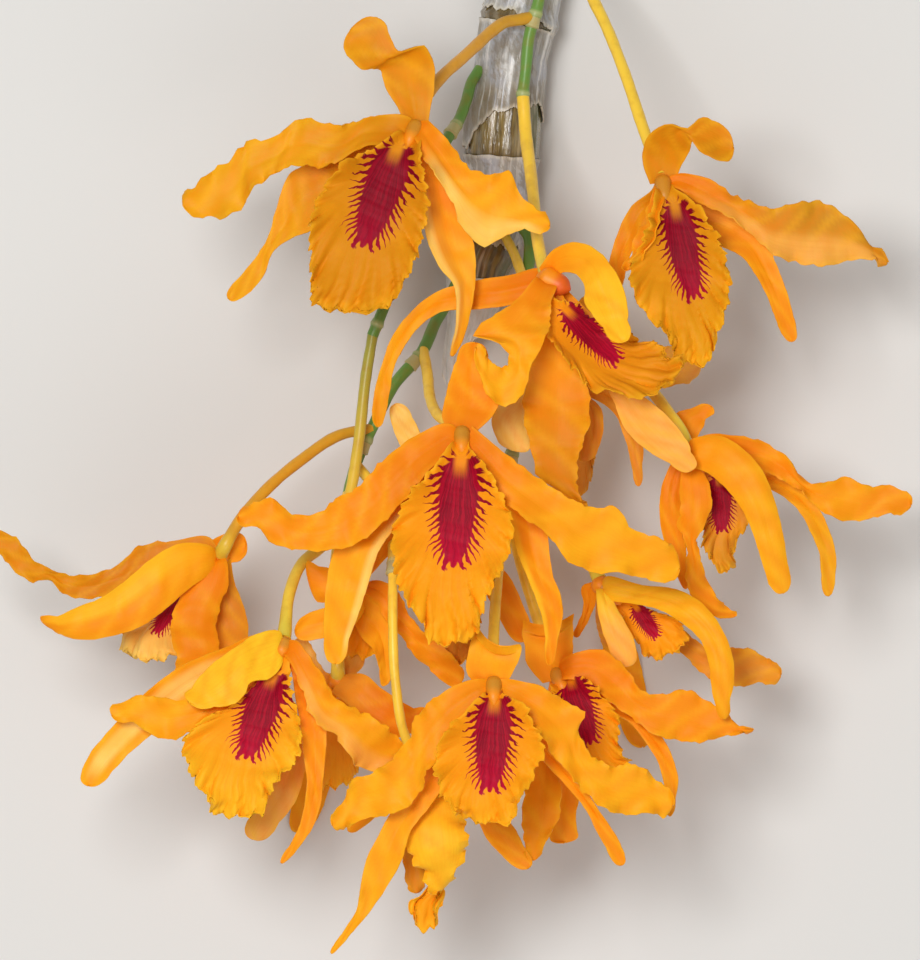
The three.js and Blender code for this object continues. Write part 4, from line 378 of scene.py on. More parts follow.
            (2, 9, 1, 5.6, 55.4, 0.6), (5.4, 6.2, 3.4, 1.4, 57, 1), (9.5, 2.8, 6.9, -3.2, 58, 1.2),
            (14.1, -0.3, 11, -6.6, 58, 1), (18.7, -3.3, 15, -9.4, 57.4, 0.6), (22.8, -4.7, 17.9, -13.4, 56.6),
            (25.8, -4.4, 22, -15.3, 56), (28.8, -8.2, 26.8, -15.4, 55.2), (33.4, -9.9, 31, -16.4, 54.2),
            (35.6, -13.2, 35.2, -15.4, 53.4),
        ]),
        ("sepal", 0.2, 0, 1, dict(tip=ORANGE, edge=(1, YELLOW)), [
            (3.8, 6.4, 1.4, 4.6, 53), (10.6, 0, 6, -2.2, 52.2), (14.2, -7, 8.6, -8.2, 52.4, 0.8),
            (14.9, -12, 9.6, -12.2, 53, 1), (15.4, -15.6, 11, -15.6, 53, 0.8), (16.8, -19.4, 12.4, -19.2, 52.2),
            (17.1, -22.8, 13.6, -22.6, 51.2), (16.3, -26.4, 14.2, -26.2, 50.2),
            (15.4, -29.8, 14.4, -29.5, 49.4),
        ]),
        ("lip", 0.42, 1, 1.6, dict(blotch=((0.2, 3.6), (-1.3, -16.2), 12.6)), [
            (1.6, 5.4, -1.6, 5.4, 57.2), (4, 2, -4.8, 1.6, 59.2), (6.8, -2.2, -8.6, -3.2, 61),
            (8.7, -7, -11.2, -8, 62), (8.3, -11.4, -11.1, -12.8, 62.8), (6.4, -16, -10.3, -17, 63.4),
            (4.3, -20, -8.2, -21.2, 63.6), (3.2, -23.2, -6, -23.9, 63), (1.6, -25.5, -4.2, -25.7, 62.4),
        ]),
    ]),
    "bloom_e": dict(heart=(-40.6, -13.4, 35), face=(-0.5, -0.8, -0.2), lipward=(-0.5, -0.5, -0.5), blades=[
        ("dorsal", 0.25, 0, 0.8, {}, [
            (-41.4, -10, -39.4, -14, 34.6), (-39.2, -8.9, -37.8, -13.8, 34.6), (-37, -9.1, -36.4, -12.8, 34.2),
        ]),
        ("petal", 0.15, 0.5, 1, dict(base=TAN, tip=AMBER_SHADE), [
            (-42.4, -13.2, -41.4, -10, 34), (-48, -15.6, -48, -10.1, 33.4, -1),
            (-53.7, -17.9, -53.7, -11.2, 32.8, -1), (-58.8, -19.3, -57.9, -14.5, 32.4),
            (-63, -19.9, -62.3, -15.9, 32.2), (-66.5, -19, -66.1, -15.8, 32.2),
            (-68.9, -16.7, -68.5, -15, 32.6), (-71.6, -17.1, -71.2, -13.5, 33.2),
            (-74.4, -15.4, -73, -11.3, 33.8), (-76.6, -12.8, -75, -9.3, 34), (-77.7, -11.3, -77.1, -9, 34),
        ]),
        ("sepal", -0.2, 0, 1.2, dict(base=GOLD, tip=ORANGE, band=(0.1, 1.2, YELLOW)), [
            (-41.4, -15.4, -41.4, -11.2, 37.4), (-45.4, -18.2, -46.6, -10.6, 39.4),
            (-49.3, -21.6, -51.6, -13.2, 40.4), (-53.4, -24.5, -55.6, -16.6, 40.8),
            (-58, -26, -59.8, -19.6, 40.6), (-62.6, -26.7, -63.8, -21.2, 39.8),
            (-66.6, -25.8, -67.3, -22.8, 38.8), (-68.5, -24.3, -69, -23.4, 38),
        ]),
        ("petal", -0.2, 0.3, 1.2, {}, [
            (-39.2, -13, -42, -14.6, 36.8), (-38.7, -17, -45.8, -18.2, 37.8), (-40.2, -21.2, -48, -22.4, 38.2),
            (-40.8, -25, -48.3, -26.2, 38), (-40.2, -28.6, -47.4, -29.6, 37.6), (-42, -32.6, -47.6, -33, 37),
            (-44, -34.8, -46.2, -34.8, 36.6),
        ]),
        ("sepal", -0.2, 0, 1, dict(base=OCHRE, tip=TAN), [
            (-38.4, -13, -40.6, -14.4, 34.6), (-37.8, -17, -41, -18.4, 34), (-36.2, -21.2, -41, -22.4, 33.4),
            (-35.5, -25.2, -40.8, -26.2, 32.8), (-36.6, -29.2, -39.8, -29.8, 32),
        ]),
        ("lip", -0.3, 0.8, 1.2, dict(blotch=((-46.2, -17.6), (-51.4, -26.6), 5.6), tip=PALE), [
            (-42, -16, -43.6, -14.6, 33.6), (-44.8, -18.8, -46.6, -17.2, 33.2, -3),
            (-47, -22.6, -50.6, -21.4, 33, -6), (-47.6, -26.3, -54.2, -24.2, 33, -7),
            (-48.2, -28.8, -56.6, -25.6, 32.6, -6), (-50.2, -29.4, -55.7, -28.2, 32.6, -3),
        ]),
    ]),
    "bloom_f": dict(heart=(-29.4, -27.8, 48), face=(-0.2, -0.2, 1), lipward=(-0.3, -1, 0.2),
        look=dict(column=3.2), blades=[
        ("dorsal", 0.25, 0, 1, dict(base=LEMON_HIGHLIGHT, tip=YELLOW), [
            (-29.6, -30.4, -29.8, -25.4, 49.6), (-31.6, -33, -33.8, -25.6, 51.8),
            (-34.9, -33.7, -37.4, -27.9, 53.2), (-35.9, -35.8, -40.5, -30, 54),
            (-38, -37.4, -43.2, -32.6, 54.2), (-40.9, -37.7, -44.6, -34.6, 53.8),
            (-42.9, -37.4, -44.8, -36, 53.4),
        ]),
        ("sepal", 0.2, 0, 1.4, dict(base=ORANGE, tip=GOLD, band=(-0.4, 0.6, PALE)), [
            (-30.2, -30, -32, -26, 47.4), (-37.4, -33.4, -39.2, -28, 47.4), (-43.4, -36.4, -46.2, -30.9, 47.4),
            (-48.2, -40, -51.4, -34.6, 47), (-52, -42.9, -55.9, -39, 46.6), (-55.4, -45.8, -59.4, -42.8, 46.4),
            (-58, -48.6, -62.2, -46.6, 46), (-59.7, -50, -62.8, -49.3, 45.6),
        ]),
        ("petal", 0.15, 0.6, 1, dict(tip=GOLD), [
            (-30.6, -32.6, -31.4, -29.6, 49), (-37.6, -38.2, -38, -34.6, 50.2),
            (-42.2, -39.9, -42.2, -37, 50.6), (-44.9, -41.8, -45.6, -36.7, 50.8),
            (-48, -43.3, -49.7, -36.3, 50.8), (-51.7, -42.1, -53.2, -35.9, 50.4),
            (-54.4, -40.4, -55.8, -36.9, 49.8), (-56.6, -39.4, -57.2, -38.4, 49.4),
        ]),
        ("petal", 0.12, 0.8, 1, dict(tip=GOLD, band=(0.2, 1.2, PEACH), frill=0.9), [
            (-27.6, -26.6, -29, -29.4, 49.8), (-23.6, -31.6, -26.4, -34.6, 51, 0.6),
            (-20.2, -36.6, -23.8, -40.6, 51.2, 0.8), (-17.7, -38, -20.4, -42.8, 51),
            (-15.1, -39.2, -19, -45.2, 50.4), (-12.2, -41.2, -16.2, -48.2, 49.2),
            (-9.4, -43.9, -12.4, -48.2, 47.8), (-8.4, -45, -9.8, -46.6, 46.6),
        ]),
        ("sepal", 0.2, 0, 0.8, {}, [
            (-26.6, -29.4, -28.8, -30.4, 48), (-24, -35.6, -27.4, -36.4, 48.8),
            (-22.3, -41, -26.5, -41.8, 49.4), (-22.4, -45.6, -26, -46.2, 49.6),
            (-22.8, -50, -25.5, -50.2, 49.6), (-23.2, -54, -25.9, -54, 49.4), (-24.6, -58, -26.7, -57.4, 49),
            (-27.2, -61.6, -28.2, -60.6, 48.4), (-28.9, -63.3, -29.5, -62.8, 48),
        ]),
        ("lip", 0.4, 1, 1.4, dict(blotch=((-31.2, -32.2), (-36.2, -47.8), 11), tip=YELLOW, lobes=0), [
            (-28.4, -30.6, -32, -31.4, 50), (-28, -34.8, -36.6, -36.2, 51.6), (-26.9, -39.4, -42.8, -40.2, 53),
            (-26.4, -43.6, -46.2, -43.6, 53.8), (-27.6, -47.2, -45.2, -47.6, 54.2),
            (-30.4, -49.8, -43.4, -51.2, 54.4), (-31.8, -52.6, -41.6, -53.2, 54),
            (-34, -54.4, -40, -54.9, 53.4),
        ]),
    ]),
    "bloom_g": dict(heart=(5.6, -34.2, 57), face=(0, 0, 1), lipward=(0, -1, 0.25), blades=[
        ("dorsal", 0.12, 0, -2, dict(base=ORANGE, tip=GOLD, horns=1.3), [
            (3.4, -34.6, 7.6, -34, 57), (1, -31.8, 9, -31.6, 57.6), (1.3, -29.2, 9.8, -29.8, 58.2),
            (1.8, -26.8, 10.2, -28.2, 58.2), (3, -25, 9.8, -27.6, 57.4),
        ]),
        ("petal", 0.12, 0.8, 1, dict(base=ORANGE, tip=GOLD, frill=0.9), [
            (4.6, -36.4, 3.2, -33, 58), (0.4, -40.7, -3.8, -35.8, 58.6, -0.6),
            (-2.7, -44.6, -7.2, -39.4, 58.8, -1), (-5.3, -48.4, -8.8, -43.2, 58.6, -0.8),
            (-6.8, -52.2, -12.4, -47.2, 58), (-10, -55, -15.8, -49.2, 57.2), (-14.2, -56.1, -18.2, -50, 56.4),
            (-17.8, -57, -19.2, -53.2, 55.6), (-20, -57.3, -20.5, -56.2, 55.2),
        ]),
        ("sepal", 0.2, 0, 1, dict(tip=GOLD), [
            (4.4, -37.2, 2.4, -35.4, 55.6), (0.2, -46, -4.2, -43.6, 54.8), (-4.8, -54, -9.6, -52, 54),
            (-8.4, -58.8, -13.2, -58.4, 53.6, -0.8), (-9.6, -63, -15.6, -63.2, 53.2, -0.8),
            (-12.1, -67.6, -16.6, -68, 52.2), (-15.5, -72.5, -17.3, -71.7, 51),
            (-18.2, -75.6, -19.2, -74.9, 50), (-20.4, -78.2, -21.1, -77.6, 49.4),
        ]),
        ("petal", 0.12, 0.8, 1, dict(base=ORANGE, tip=GOLD, frill=0.9), [
            (7.8, -33, 6.8, -35.8, 57.8), (13, -34.3, 10.4, -39, 58.4, 1.4),
            (17.2, -36.4, 13.6, -43, 58.4, 1.6), (20.3, -38.7, 15.9, -46, 57.8, 1.2),
            (19.9, -42.2, 18, -48.8, 57), (22.4, -46.2, 20.7, -51.8, 56.4), (26, -47.6, 24.1, -54.7, 55.6),
            (29, -47.2, 27.9, -55.7, 54.6), (32.2, -49.5, 31.5, -55.2, 53.6), (34.4, -53, 34.2, -54.4, 53),
        ]),
        ("sepal", 0.2, 0, 1, {}, [
            (9, -36.6, 6.8, -37.4, 55.2), (14.8, -43.4, 11.8, -44.4, 53.6), (20.2, -50.4, 17.4, -50.6, 52.4),
            (23.5, -55.6, 21, -55, 51.6), (25.6, -58.6, 22.8, -58.6, 51.2), (26.9, -61.1, 24.3, -61.2, 50.6),
            (26.9, -62.9, 26, -63.2, 50.4),
        ]),
        ("lip", 0.42, 1, 1.4, dict(blotch=((5.8, -36.2), (4.8, -53.2), 11.2)), [
            (7.4, -36, 3.8, -36.4, 59.4), (10.2, -37.6, 0.6, -38.8, 61), (12.6, -41, -2.6, -42.4, 62.4),
            (14, -44.8, -4.2, -46.6, 63), (12.4, -48.4, -3.8, -50, 63.4), (11, -51.4, -2.8, -52.6, 63.6),
            (9.4, -53.8, -0.8, -54.6, 63.2), (7.4, -55.4, 1.6, -55.8, 62.6),
        ]),
    ]),
    "bloom_h": dict(heart=(16.4, -32.8, 37), face=(0.2, -0.1, 1), lipward=(0.3, -1, 0.2), blades=[
        ("dorsal", 0.12, 0, -2.4, dict(base=ORANGE, tip=ORANGE, horns=1.2), [
            (13.8, -34, 18.6, -33, 37.6), (11.2, -30.8, 18.8, -30, 38.4), (10.8, -27.8, 18.9, -27, 39),
            (10.4, -25.6, 18.9, -24.8, 39.2), (11.5, -23.6, 18, -22.8, 38.6),
        ]),
        ("petal", 0.12, 0.7, 1, {}, [
            (17.2, -29.8, 17.4, -33.4, 39.4), (23.4, -28.4, 21.2, -34, 40.6, 0.8),
            (27.8, -31.4, 24.8, -37, 41, 0.8), (30.4, -35.2, 28.8, -39.8, 41.2),
            (33.8, -35.8, 32.2, -42.4, 41.2), (37.9, -35, 36.5, -43.5, 41), (41.3, -36.9, 39.9, -43.8, 40.6),
            (44.8, -39.2, 44, -42.9, 40.2), (46.8, -41.2, 46.6, -42.4, 39.8), (47.7, -41.3, 47.9, -42.3, 39.6),
        ]),
        ("sepal", 0.2, 0, 0.8, {}, [
            (19.4, -32.8, 17.6, -34.8, 36.6), (26.4, -36.4, 24, -38.2, 36.8), (31.6, -41, 29, -41.2, 37.4),
            (34.2, -43.6, 31.4, -44.4, 37.6), (35.7, -46.8, 33, -47, 37.4), (36.5, -50.2, 34, -50.4, 37),
            (36.1, -53.2, 34.4, -53.2, 36.6), (35.5, -55.3, 34.8, -55.2, 36.2),
        ]),
        ("petal", 0.12, 0.6, 1.2, {}, [
            (18, -36, 14.6, -36, 36.8), (17.4, -42, 13.4, -42, 37.2), (16.6, -48, 12.4, -48, 39.4),
            (16.9, -53.2, 10.6, -53.2, 40.8), (16.2, -57.2, 10.4, -57.6, 41.2),
            (14.2, -60.4, 10.9, -60.6, 41.2), (12.8, -62.2, 11.8, -62.2, 41),
        ]),
        ("sepal", 0.15, 0.5, 1, {}, [
            (19, -36, 16, -36, 34.4), (19.4, -44, 14.6, -44, 33), (20.2, -52, 14.8, -52, 32),
            (19.4, -56.6, 14.6, -56.6, 31.6), (19.8, -59.4, 15, -59.8, 31.2),
        ]),
        ("lip", 0.3, 0.9, 1.2, dict(blotch=((18.4, -33), (22.2, -45.2), 8.6)), [
            (18.6, -33, 15.6, -35, 39), (22.2, -34.6, 15.8, -37.4, 41.6), (24.9, -37.2, 16, -40.6, 42.8),
            (26.6, -40.4, 17, -43.8, 43.2), (26.4, -43.4, 18.8, -46.8, 43.2), (27.2, -46, 21.4, -48.6, 43),
            (27.2, -47.4, 24.4, -49, 42.8),
        ]),
    ]),
    "bloom_i": dict(heart=(24, -18, 34.6), face=(0.7, -0.6, 0.2), lipward=(0.7, -0.7, 0), blades=[
        ("sepal", -0.2, 0, 1, dict(base=YELLOW, tip=GOLD), [
            (24.4, -16.2, 24.6, -19.8, 36.2), (30.6, -17.6, 29.8, -20.8, 38.6),
            (36.2, -18.3, 33.6, -21.8, 40.8), (40.5, -20.7, 37.4, -24.1, 42.4), (43.7, -24.8, 40.3, -27, 43.4),
            (45.4, -29.2, 41.6, -30.8, 43.8), (45.7, -33.8, 42, -34.8, 43.8), (45, -37, 42.7, -37.6, 43.4),
            (44.6, -38.6, 43.4, -38.8, 43),
        ]),
        ("sepal", -0.15, 0, 1, dict(base=LEMON_HIGHLIGHT, tip=PEACH), [
            (25.2, -18.8, 22.8, -18.8, 36.4), (26.2, -21.4, 23, -21.4, 37.4), (27.7, -24, 23.6, -24.4, 38),
            (29.1, -26.9, 24.7, -27.6, 38.2), (29.4, -29.8, 26, -30.2, 37.8),
        ]),
        ("dorsal", -0.15, 0, 0.8, {}, [
            (23.8, -17, 22.4, -17, 34.4), (23, -18.6, 20.4, -17.8, 33.6), (22.6, -21, 20.7, -20.6, 32.8),
            (21.6, -23.4, 20.2, -23, 32.2), (20.4, -25.6, 19.2, -25.2, 31.6),
        ]),
        ("lip", 0.3, 0.8, 1, dict(blotch=((29.4, -21), (33.4, -27), 5)), [
            (26.2, -18.8, 24.8, -20.8, 33), (30.2, -21, 27.2, -22.8, 33), (33.2, -22.2, 28, -25, 33),
            (35.9, -23.3, 30, -27.4, 33.4), (37.5, -25.2, 31.2, -29.4, 33.8), (36.9, -27, 33, -29.2, 33.8),
        ]),
        ("petal", 0.12, 0.6, 1.2, dict(base=OCHRE, tip=TAN), [
            (26.4, -18.6, 25, -20.2, 31.6), (32.6, -22.4, 30.4, -25.2, 29.8), (38, -25.6, 36, -28, 29),
            (41.6, -28.2, 39.6, -31.4, 28.8), (45, -28.2, 43, -34.2, 28.8), (48.8, -28.4, 46.9, -34.6, 28.8),
            (51.4, -30, 50, -34, 28.8), (52.6, -31.6, 52.3, -33.2, 28.8),
        ]),
        ("rest", 0, 0, 1, {}, [
            (26.2, -19.6, 22.8, -20.4, 31.8), (27.4, -22.4, 22.8, -23.2, 22), (28.6, -25, 23.4, -26, 11),
            (29.8, -28.4, 24.4, -29.4, 3.4), (31, -33, 25.2, -34, 0.42), (32, -38.4, 26.6, -39.4, 0.42),
            (32.6, -43.6, 28.6, -44.4, 0.42),
        ]),
    ]),
    "bloom_j": dict(heart=(38.4, 4.2, 39.6), face=(0.7, -0.6, 0.1), lipward=(0.5, -0.9, 0.1), blades=[
        ("dorsal", 0.15, 0.3, 0.8, {}, [
            (37, 4.8, 40, 4, 38), (36.5, 9.4, 39.8, 7.4, 36.6), (36.1, 11.2, 40.7, 8.8, 36),
            (38.6, 11.9, 41.1, 10.2, 35.8), (40.8, 12.2, 41.7, 11.4, 36),
        ]),
        ("sepal", -0.2, 0, 1.4, dict(base=ORANGE, tip=GOLD), [
            (38.4, 6.4, 37.8, 2.6, 41.2), (43.5, 7.3, 41.4, 1.2, 43.4), (47.3, 5.1, 44.4, -1.4, 44.8),
            (50.4, 1.6, 46.9, -4.6, 45.4), (52.4, -3.2, 48.6, -8.2, 45.4), (53.7, -8.2, 49.8, -11.8, 45),
            (54.5, -13.2, 51, -15.4, 44.2), (54.5, -17.2, 52.5, -17.6, 43.4),
        ]),
        ("petal", 0.12, 0.6, 1.2, {}, [
            (39.6, 6.8, 40, 3.6, 40), (46, 7.4, 47, 3, 40.2), (50.5, 6.5, 50.9, 1.4, 40),
            (54.9, 3.4, 54.9, -0.6, 39.6), (57.6, 0, 57, -1.9, 39.2), (60.8, -0.5, 59.8, -4.6, 39),
            (64.5, 0.5, 63.3, -6.6, 38.6), (68.4, -1.1, 67.6, -6.7, 38.2), (71.9, -1, 71.4, -5.6, 37.8),
            (74.3, -3.1, 73.9, -4.6, 37.6),
        ]),
        ("sepal", 0.2, 0, 1, dict(tip=HONEY), [
            (40.4, 4.4, 39.4, 2.4, 38), (47, 3, 45.4, 0.4, 37), (53.4, 1, 51.2, -1.2, 36.6),
            (57, -1.4, 54.4, -3, 36.4), (60, -4.7, 57, -5.6, 36.2), (61.8, -8.4, 58.8, -9, 36),
            (62.9, -12.4, 60.2, -12.6, 35.6), (62.8, -15.9, 60.5, -16, 35.2), (62, -18.2, 61.2, -18.2, 34.8),
        ]),
        ("sepal", -0.2, 0, 1, {}, [
            (38.4, 2.6, 35.8, 3.4, 37.6), (37, -2.4, 33.8, -1, 37.2), (37.4, -7, 33.4, -5.6, 36.6),
            (37.8, -11, 34, -9.6, 36), (37.9, -14.6, 35.4, -13.6, 35.2), (37.7, -17.3, 36.8, -16.5, 34.6),
        ]),
        ("petal", -0.15, 0.4, 0.8, dict(base=DEEP, tip=ORANGE), [
            (40.2, 2.2, 37, 2.2, 41), (41.8, -1.3, 36.7, -2, 42.4), (41.9, -4.8, 36.8, -5.2, 42.8),
            (40.7, -7.7, 36.3, -7.7, 42.4), (39.6, -10, 37.6, -10.2, 41.6), (40.2, -12.8, 38, -13.6, 40.4),
            (41.1, -16.2, 37.8, -17.2, 38.8), (42.9, -19.4, 40, -20.8, 37.4), (44.4, -21.2, 42.4, -22.6, 36.4),
            (45.4, -22.2, 44.8, -22.8, 35.8),
        ]),
        ("lip", 0.3, 0.8, 1, dict(blotch=((43.4, 0.6), (43.8, -9.6), 7), base=TAN, tip=OCHRE), [
            (41.4, 3, 39.4, 1.6, 38.6), (44, -0.4, 41, -0.6, 38.8), (46.9, -3.2, 41.5, -4, 39.2),
            (48.4, -6.7, 40.8, -7.8, 39.4), (46.8, -9.4, 40.6, -11, 39.4), (45.6, -12.4, 42, -13.2, 39),
            (45.3, -14.2, 43.5, -14.4, 38.6),
        ]),
    ]),
    "bloom_k": dict(heart=(-20.4, -34, 36.6), face=(0.1, -0.7, -0.7), lipward=(0, -0.6, -0.8), blades=[
        ("sepal", -0.15, 0, 1, dict(base=TAN, tip=DEEP), [
            (-19.4, -32.6, -21.4, -35.6, 38), (-16.2, -32.4, -18.6, -37.6, 40), (-13.4, -34.6, -15, -41, 40.6),
            (-10.6, -36.5, -11.6, -43, 40.4), (-7.8, -38.2, -8.6, -42.4, 39.8), (-6.4, -39, -6.5, -40.6, 39.4),
        ]),
        ("dorsal", -0.2, 0, 0.8, dict(base=TAN, tip=PALE), [
            (-22, -33.2, -18.8, -33.6, 36.4), (-20.8, -30.2, -16.2, -31, 35.6),
            (-19.6, -27.4, -15.8, -28, 34.4), (-19, -24.8, -16, -25.2, 33.2),
        ]),
        ("lip", -0.3, 0.8, 1.4, {}, [
            (-18.6, -35.6, -22, -35.6, 34.6), (-17.2, -39, -23.4, -39, 31.6), (-16.6, -43, -24.6, -43, 28.6),
            (-17, -47, -24.2, -47.4, 26.4), (-18.2, -50, -23, -50.4, 25),
        ]),
        ("sepal", -0.15, 0, 1.4, dict(base=ORANGE, tip=PEACH), [
            (-20.4, -36, -22.6, -34.8, 36.8), (-23, -41.4, -26.4, -40, 38.6), (-25.6, -46, -29.2, -45.4, 39.6),
            (-26.2, -49.8, -31, -49.4, 39.8), (-27.7, -54, -33.4, -53.4, 39.4),
            (-30.2, -57.2, -35.2, -56.4, 38.6), (-32.3, -59.2, -35.3, -58.4, 38),
        ]),
        ("petal", -0.15, 0.4, 1, dict(base=TAN, tip=PALE), [
            (-22.4, -32.2, -23, -35, 36.6), (-24, -29.4, -26.6, -32, 38), (-25.6, -26.4, -28.4, -29.4, 38.8),
        ]),
        ("rest", 0, 0, 1, {}, [
            (-18.8, -34.6, -22, -35.2, 34), (-18.4, -37, -23.2, -37.8, 24), (-18.8, -39.6, -24.4, -40.6, 12.4),
            (-19.6, -43, -25.6, -44.2, 3.8), (-20.8, -47.6, -27, -48.8, 0.42), (-22.4, -53, -28.2, -54, 0.42),
            (-24.6, -58, -28.8, -58.8, 0.42),
        ]),
    ]),
    "bloom_l": dict(heart=(-16.6, -18.4, 39.4), face=(-0.3, -0.7, 0.5), lipward=(0.3, -0.9, 0), blades=[
        ("sepal", 0.2, 0, 1, dict(base=YELLOW, tip=GOLD), [
            (-15.8, -21, -17.2, -18.2, 41), (-18.4, -24.9, -19.5, -20.9, 42.4),
            (-22.5, -26.3, -22.5, -21.3, 43), (-26.4, -26.8, -26.4, -22.9, 43),
        ]),
        ("sepal", 0.2, 0, 0.8, dict(base=ORANGE, tip=GOLD, broad=1.5), [
            (-16.4, -19, -17.4, -22.4, 40.8), (-14.9, -21.1, -16, -25.4, 41.8),
            (-13.1, -22.4, -14.3, -27, 41.8), (-12, -25, -13.5, -29, 41.2), (-11.8, -28.8, -13.1, -31, 40.4),
            (-11.9, -32.8, -12.5, -33.4, 39.8),
        ]),
        ("petal", 0.12, 0.7, 1, {}, [
            (-14.2, -16.6, -16.4, -19, 41.2), (-10.6, -18.4, -14, -20.6, 42.4),
            (-8.8, -21.9, -12.4, -23.4, 42.8), (-6.5, -24.9, -9.4, -26.6, 42.8), (-3.8, -26.8, -7.9, -29, 42.6),
            (-1.2, -29.4, -5.2, -31.4, 42), (0.4, -32.2, -1.9, -34, 41.4),
        ]),
        ("dorsal", 0.2, 0, 0.8, {}, [
            (-18, -18, -15.4, -16.4, 40), (-16.4, -11.4, -11.8, -12.4, 41.4), (-13.8, -7.6, -9.4, -9.6, 42),
        ]),
        ("petal", -0.15, 0.4, 0.8, {}, [
            (-17.8, -19.4, -18.2, -16.4, 38.6), (-21, -20.6, -22.2, -14.8, 38.8),
            (-23.6, -20.4, -25.2, -13.6, 38.4),
        ]),
        ("lip", 0.4, 0.6, 1.2, dict(blotch=((-14.6, -13), (-13.6, -25), 6)), [
            (-14.8, -19.8, -17.6, -21, 38.8), (-13.2, -23, -18.6, -24, 38.6), (-13, -26, -19.2, -26.6, 38.4),
            (-14, -28.2, -18.4, -28.8, 38.2),
        ]),
    ]),
    "bloom_m": dict(heart=(-4.6, -49.2, 45.6), face=(0, -0.7, -0.5), lipward=(0, -0.9, -0.3), blades=[
        ("petal", -0.3, 0.7, 1.4, dict(base=GOLD, tip=YELLOW, frill=1.6), [
            (-3, -50.6, -6.2, -50.2, 46.8), (-0.6, -54, -7, -53.8, 49), (0.8, -57, -9, -58, 50.4),
            (1.3, -60, -8.8, -61.2, 50.8), (0.7, -62.8, -7.4, -64, 50.4), (-0.8, -65.2, -5.8, -65.6, 49.6),
            (-2.4, -66.9, -4.5, -67, 49),
        ]),
        ("sepal", 0.2, 0, 1, {}, [
            (-2.6, -49.2, -4, -51.6, 44.4), (1, -51, -1, -53.6, 43), (6.5, -55.6, 2.6, -56.2, 42),
            (9, -58, 4.4, -59.8, 42), (10.5, -61, 7, -62.6, 41.8), (11.3, -63.6, 9.8, -64.3, 41.6),
        ]),
        ("petal", 0.12, 0.5, 1, dict(base=OCHRE, tip=OCHRE), [
            (-4.6, -51, -6.8, -50.4, 44.6), (-5.6, -56, -8.8, -55.4, 44.2), (-6, -61, -9.6, -60.6, 44),
            (-5.6, -65.2, -9.2, -65.2, 44), (-6.4, -67.8, -8.4, -67.6, 43.8),
        ]),
        ("lip", 0.15, 0.5, 1.2, {}, [
            (-3.4, -52, -5.4, -52, 43), (-2.4, -57, -5.4, -57, 42.6), (-2.6, -62, -5.2, -62, 43),
            (-3.1, -66.4, -4.9, -66.6, 44), (-2.7, -68.8, -6.2, -69, 44.6), (-2.9, -70.8, -8.6, -70.6, 44.6),
            (-3.8, -72.4, -7.8, -72.8, 44.2), (-4.6, -73.7, -6.8, -73.9, 44),
        ]),
        ("sepal", -0.2, 0, 1, {}, [
            (-5.6, -50.4, -6, -47.8, 44), (-9.8, -53.4, -12, -49.2, 42.4), (-13.8, -56, -15.6, -53.4, 41),
            (-17.4, -58.6, -18.4, -56.8, 39.6),
        ]),
    ]),
    "bloom_n": dict(heart=(19.8, 15, 30), face=(0.1, -0.6, -0.6), lipward=(0.1, -0.7, -0.7), blades=[
        ("sepal", -0.15, 0, 1, dict(base=TAN, tip=TAN), [
            (21.4, 14, 18.6, 14, 32), (23.6, 12, 20.4, 12, 34.4), (24, 8.4, 20.6, 8.4, 35),
            (22.9, 4.6, 19.7, 4, 35),
        ]),
        ("sepal", -0.15, 0, 1, dict(base=TAN, tip=TAN), [
            (21.8, 16.4, 20.6, 14, 31), (28, 13.4, 26, 11, 33), (30, 8.6, 27, 8.6, 33.6),
            (30.7, 5, 28.2, 5, 33.6), (30.5, 2.2, 28.8, 2.2, 33.2), (30.3, 0.2, 29.3, 0.2, 33),
        ]),
        ("petal", -0.15, 0.4, 1, dict(base=PALE, tip=PALE), [
            (18.4, 13.4, 17.8, 16.4, 31), (11.4, 9.8, 9.6, 14.2, 36.4), (11.9, 7.4, 5.4, 11, 38.6),
            (11.6, 5.2, 6.2, 7, 39),
        ]),
        ("petal", -0.15, 0.5, 1, dict(base=PEACH, tip=PEACH), [
            (21, 17.4, 22, 14.8, 30), (27.6, 20.6, 29.4, 14.6, 28.6), (33.4, 22.4, 35.4, 15.8, 27),
            (39, 21.4, 39.6, 17.6, 25.4),
        ]),
        ("lip", -0.3, 0.8, 1.4, dict(base=TAN, tip=TAN, broad=0.6), [
            (21.6, 13.6, 18.2, 13.6, 28.4), (23.4, 10.4, 16.6, 10.4, 24.6), (24.4, 6.6, 15.4, 6.4, 21),
            (24, 2.4, 15.8, 2, 18.4), (22.4, -1, 17, -1.4, 17),
        ]),
        ("dorsal", -0.15, 0, 1, dict(base=TAN, tip=TAN), [
            (18.6, 16.4, 21.4, 16.6, 30.4), (17.6, 21, 22.4, 21.6, 30.6), (18.6, 26, 22.8, 26.2, 30),
            (20.4, 30, 22.8, 30, 29),
        ]),
    ]),
    "bloom_o": dict(heart=(3, -13.4, 37), face=(0, -0.6, 0.3), lipward=(-0.1, -0.9, 0), blades=[
        ("sepal", 0.2, 0, 1, {}, [
            (4.2, -12, 3, -15, 38), (8.4, -16.4, 4.6, -19.4, 38.4), (10.4, -20.6, 6.8, -23.4, 38),
            (11.8, -25, 9, -26.6, 37.4),
        ]),
        ("lip", 0.3, 0.7, 1.2, dict(base=OCHRE, tip=TAN), [
            (4, -15.4, 1.8, -15.4, 39.4), (3.8, -20, -3, -20.4, 40.8), (3.2, -25, -5, -25.4, 40.6),
            (2.4, -29.4, -4.4, -29.6, 39.6),
        ]),
        ("petal", 0.12, 0.5, 1, dict(base=OCHRE, tip=TAN), [
            (2.4, -14.6, 1.8, -11.8, 37.6), (-3.8, -14.6, -5, -8.8, 38), (-8.2, -14, -8.8, -9.4, 37.4),
        ]),
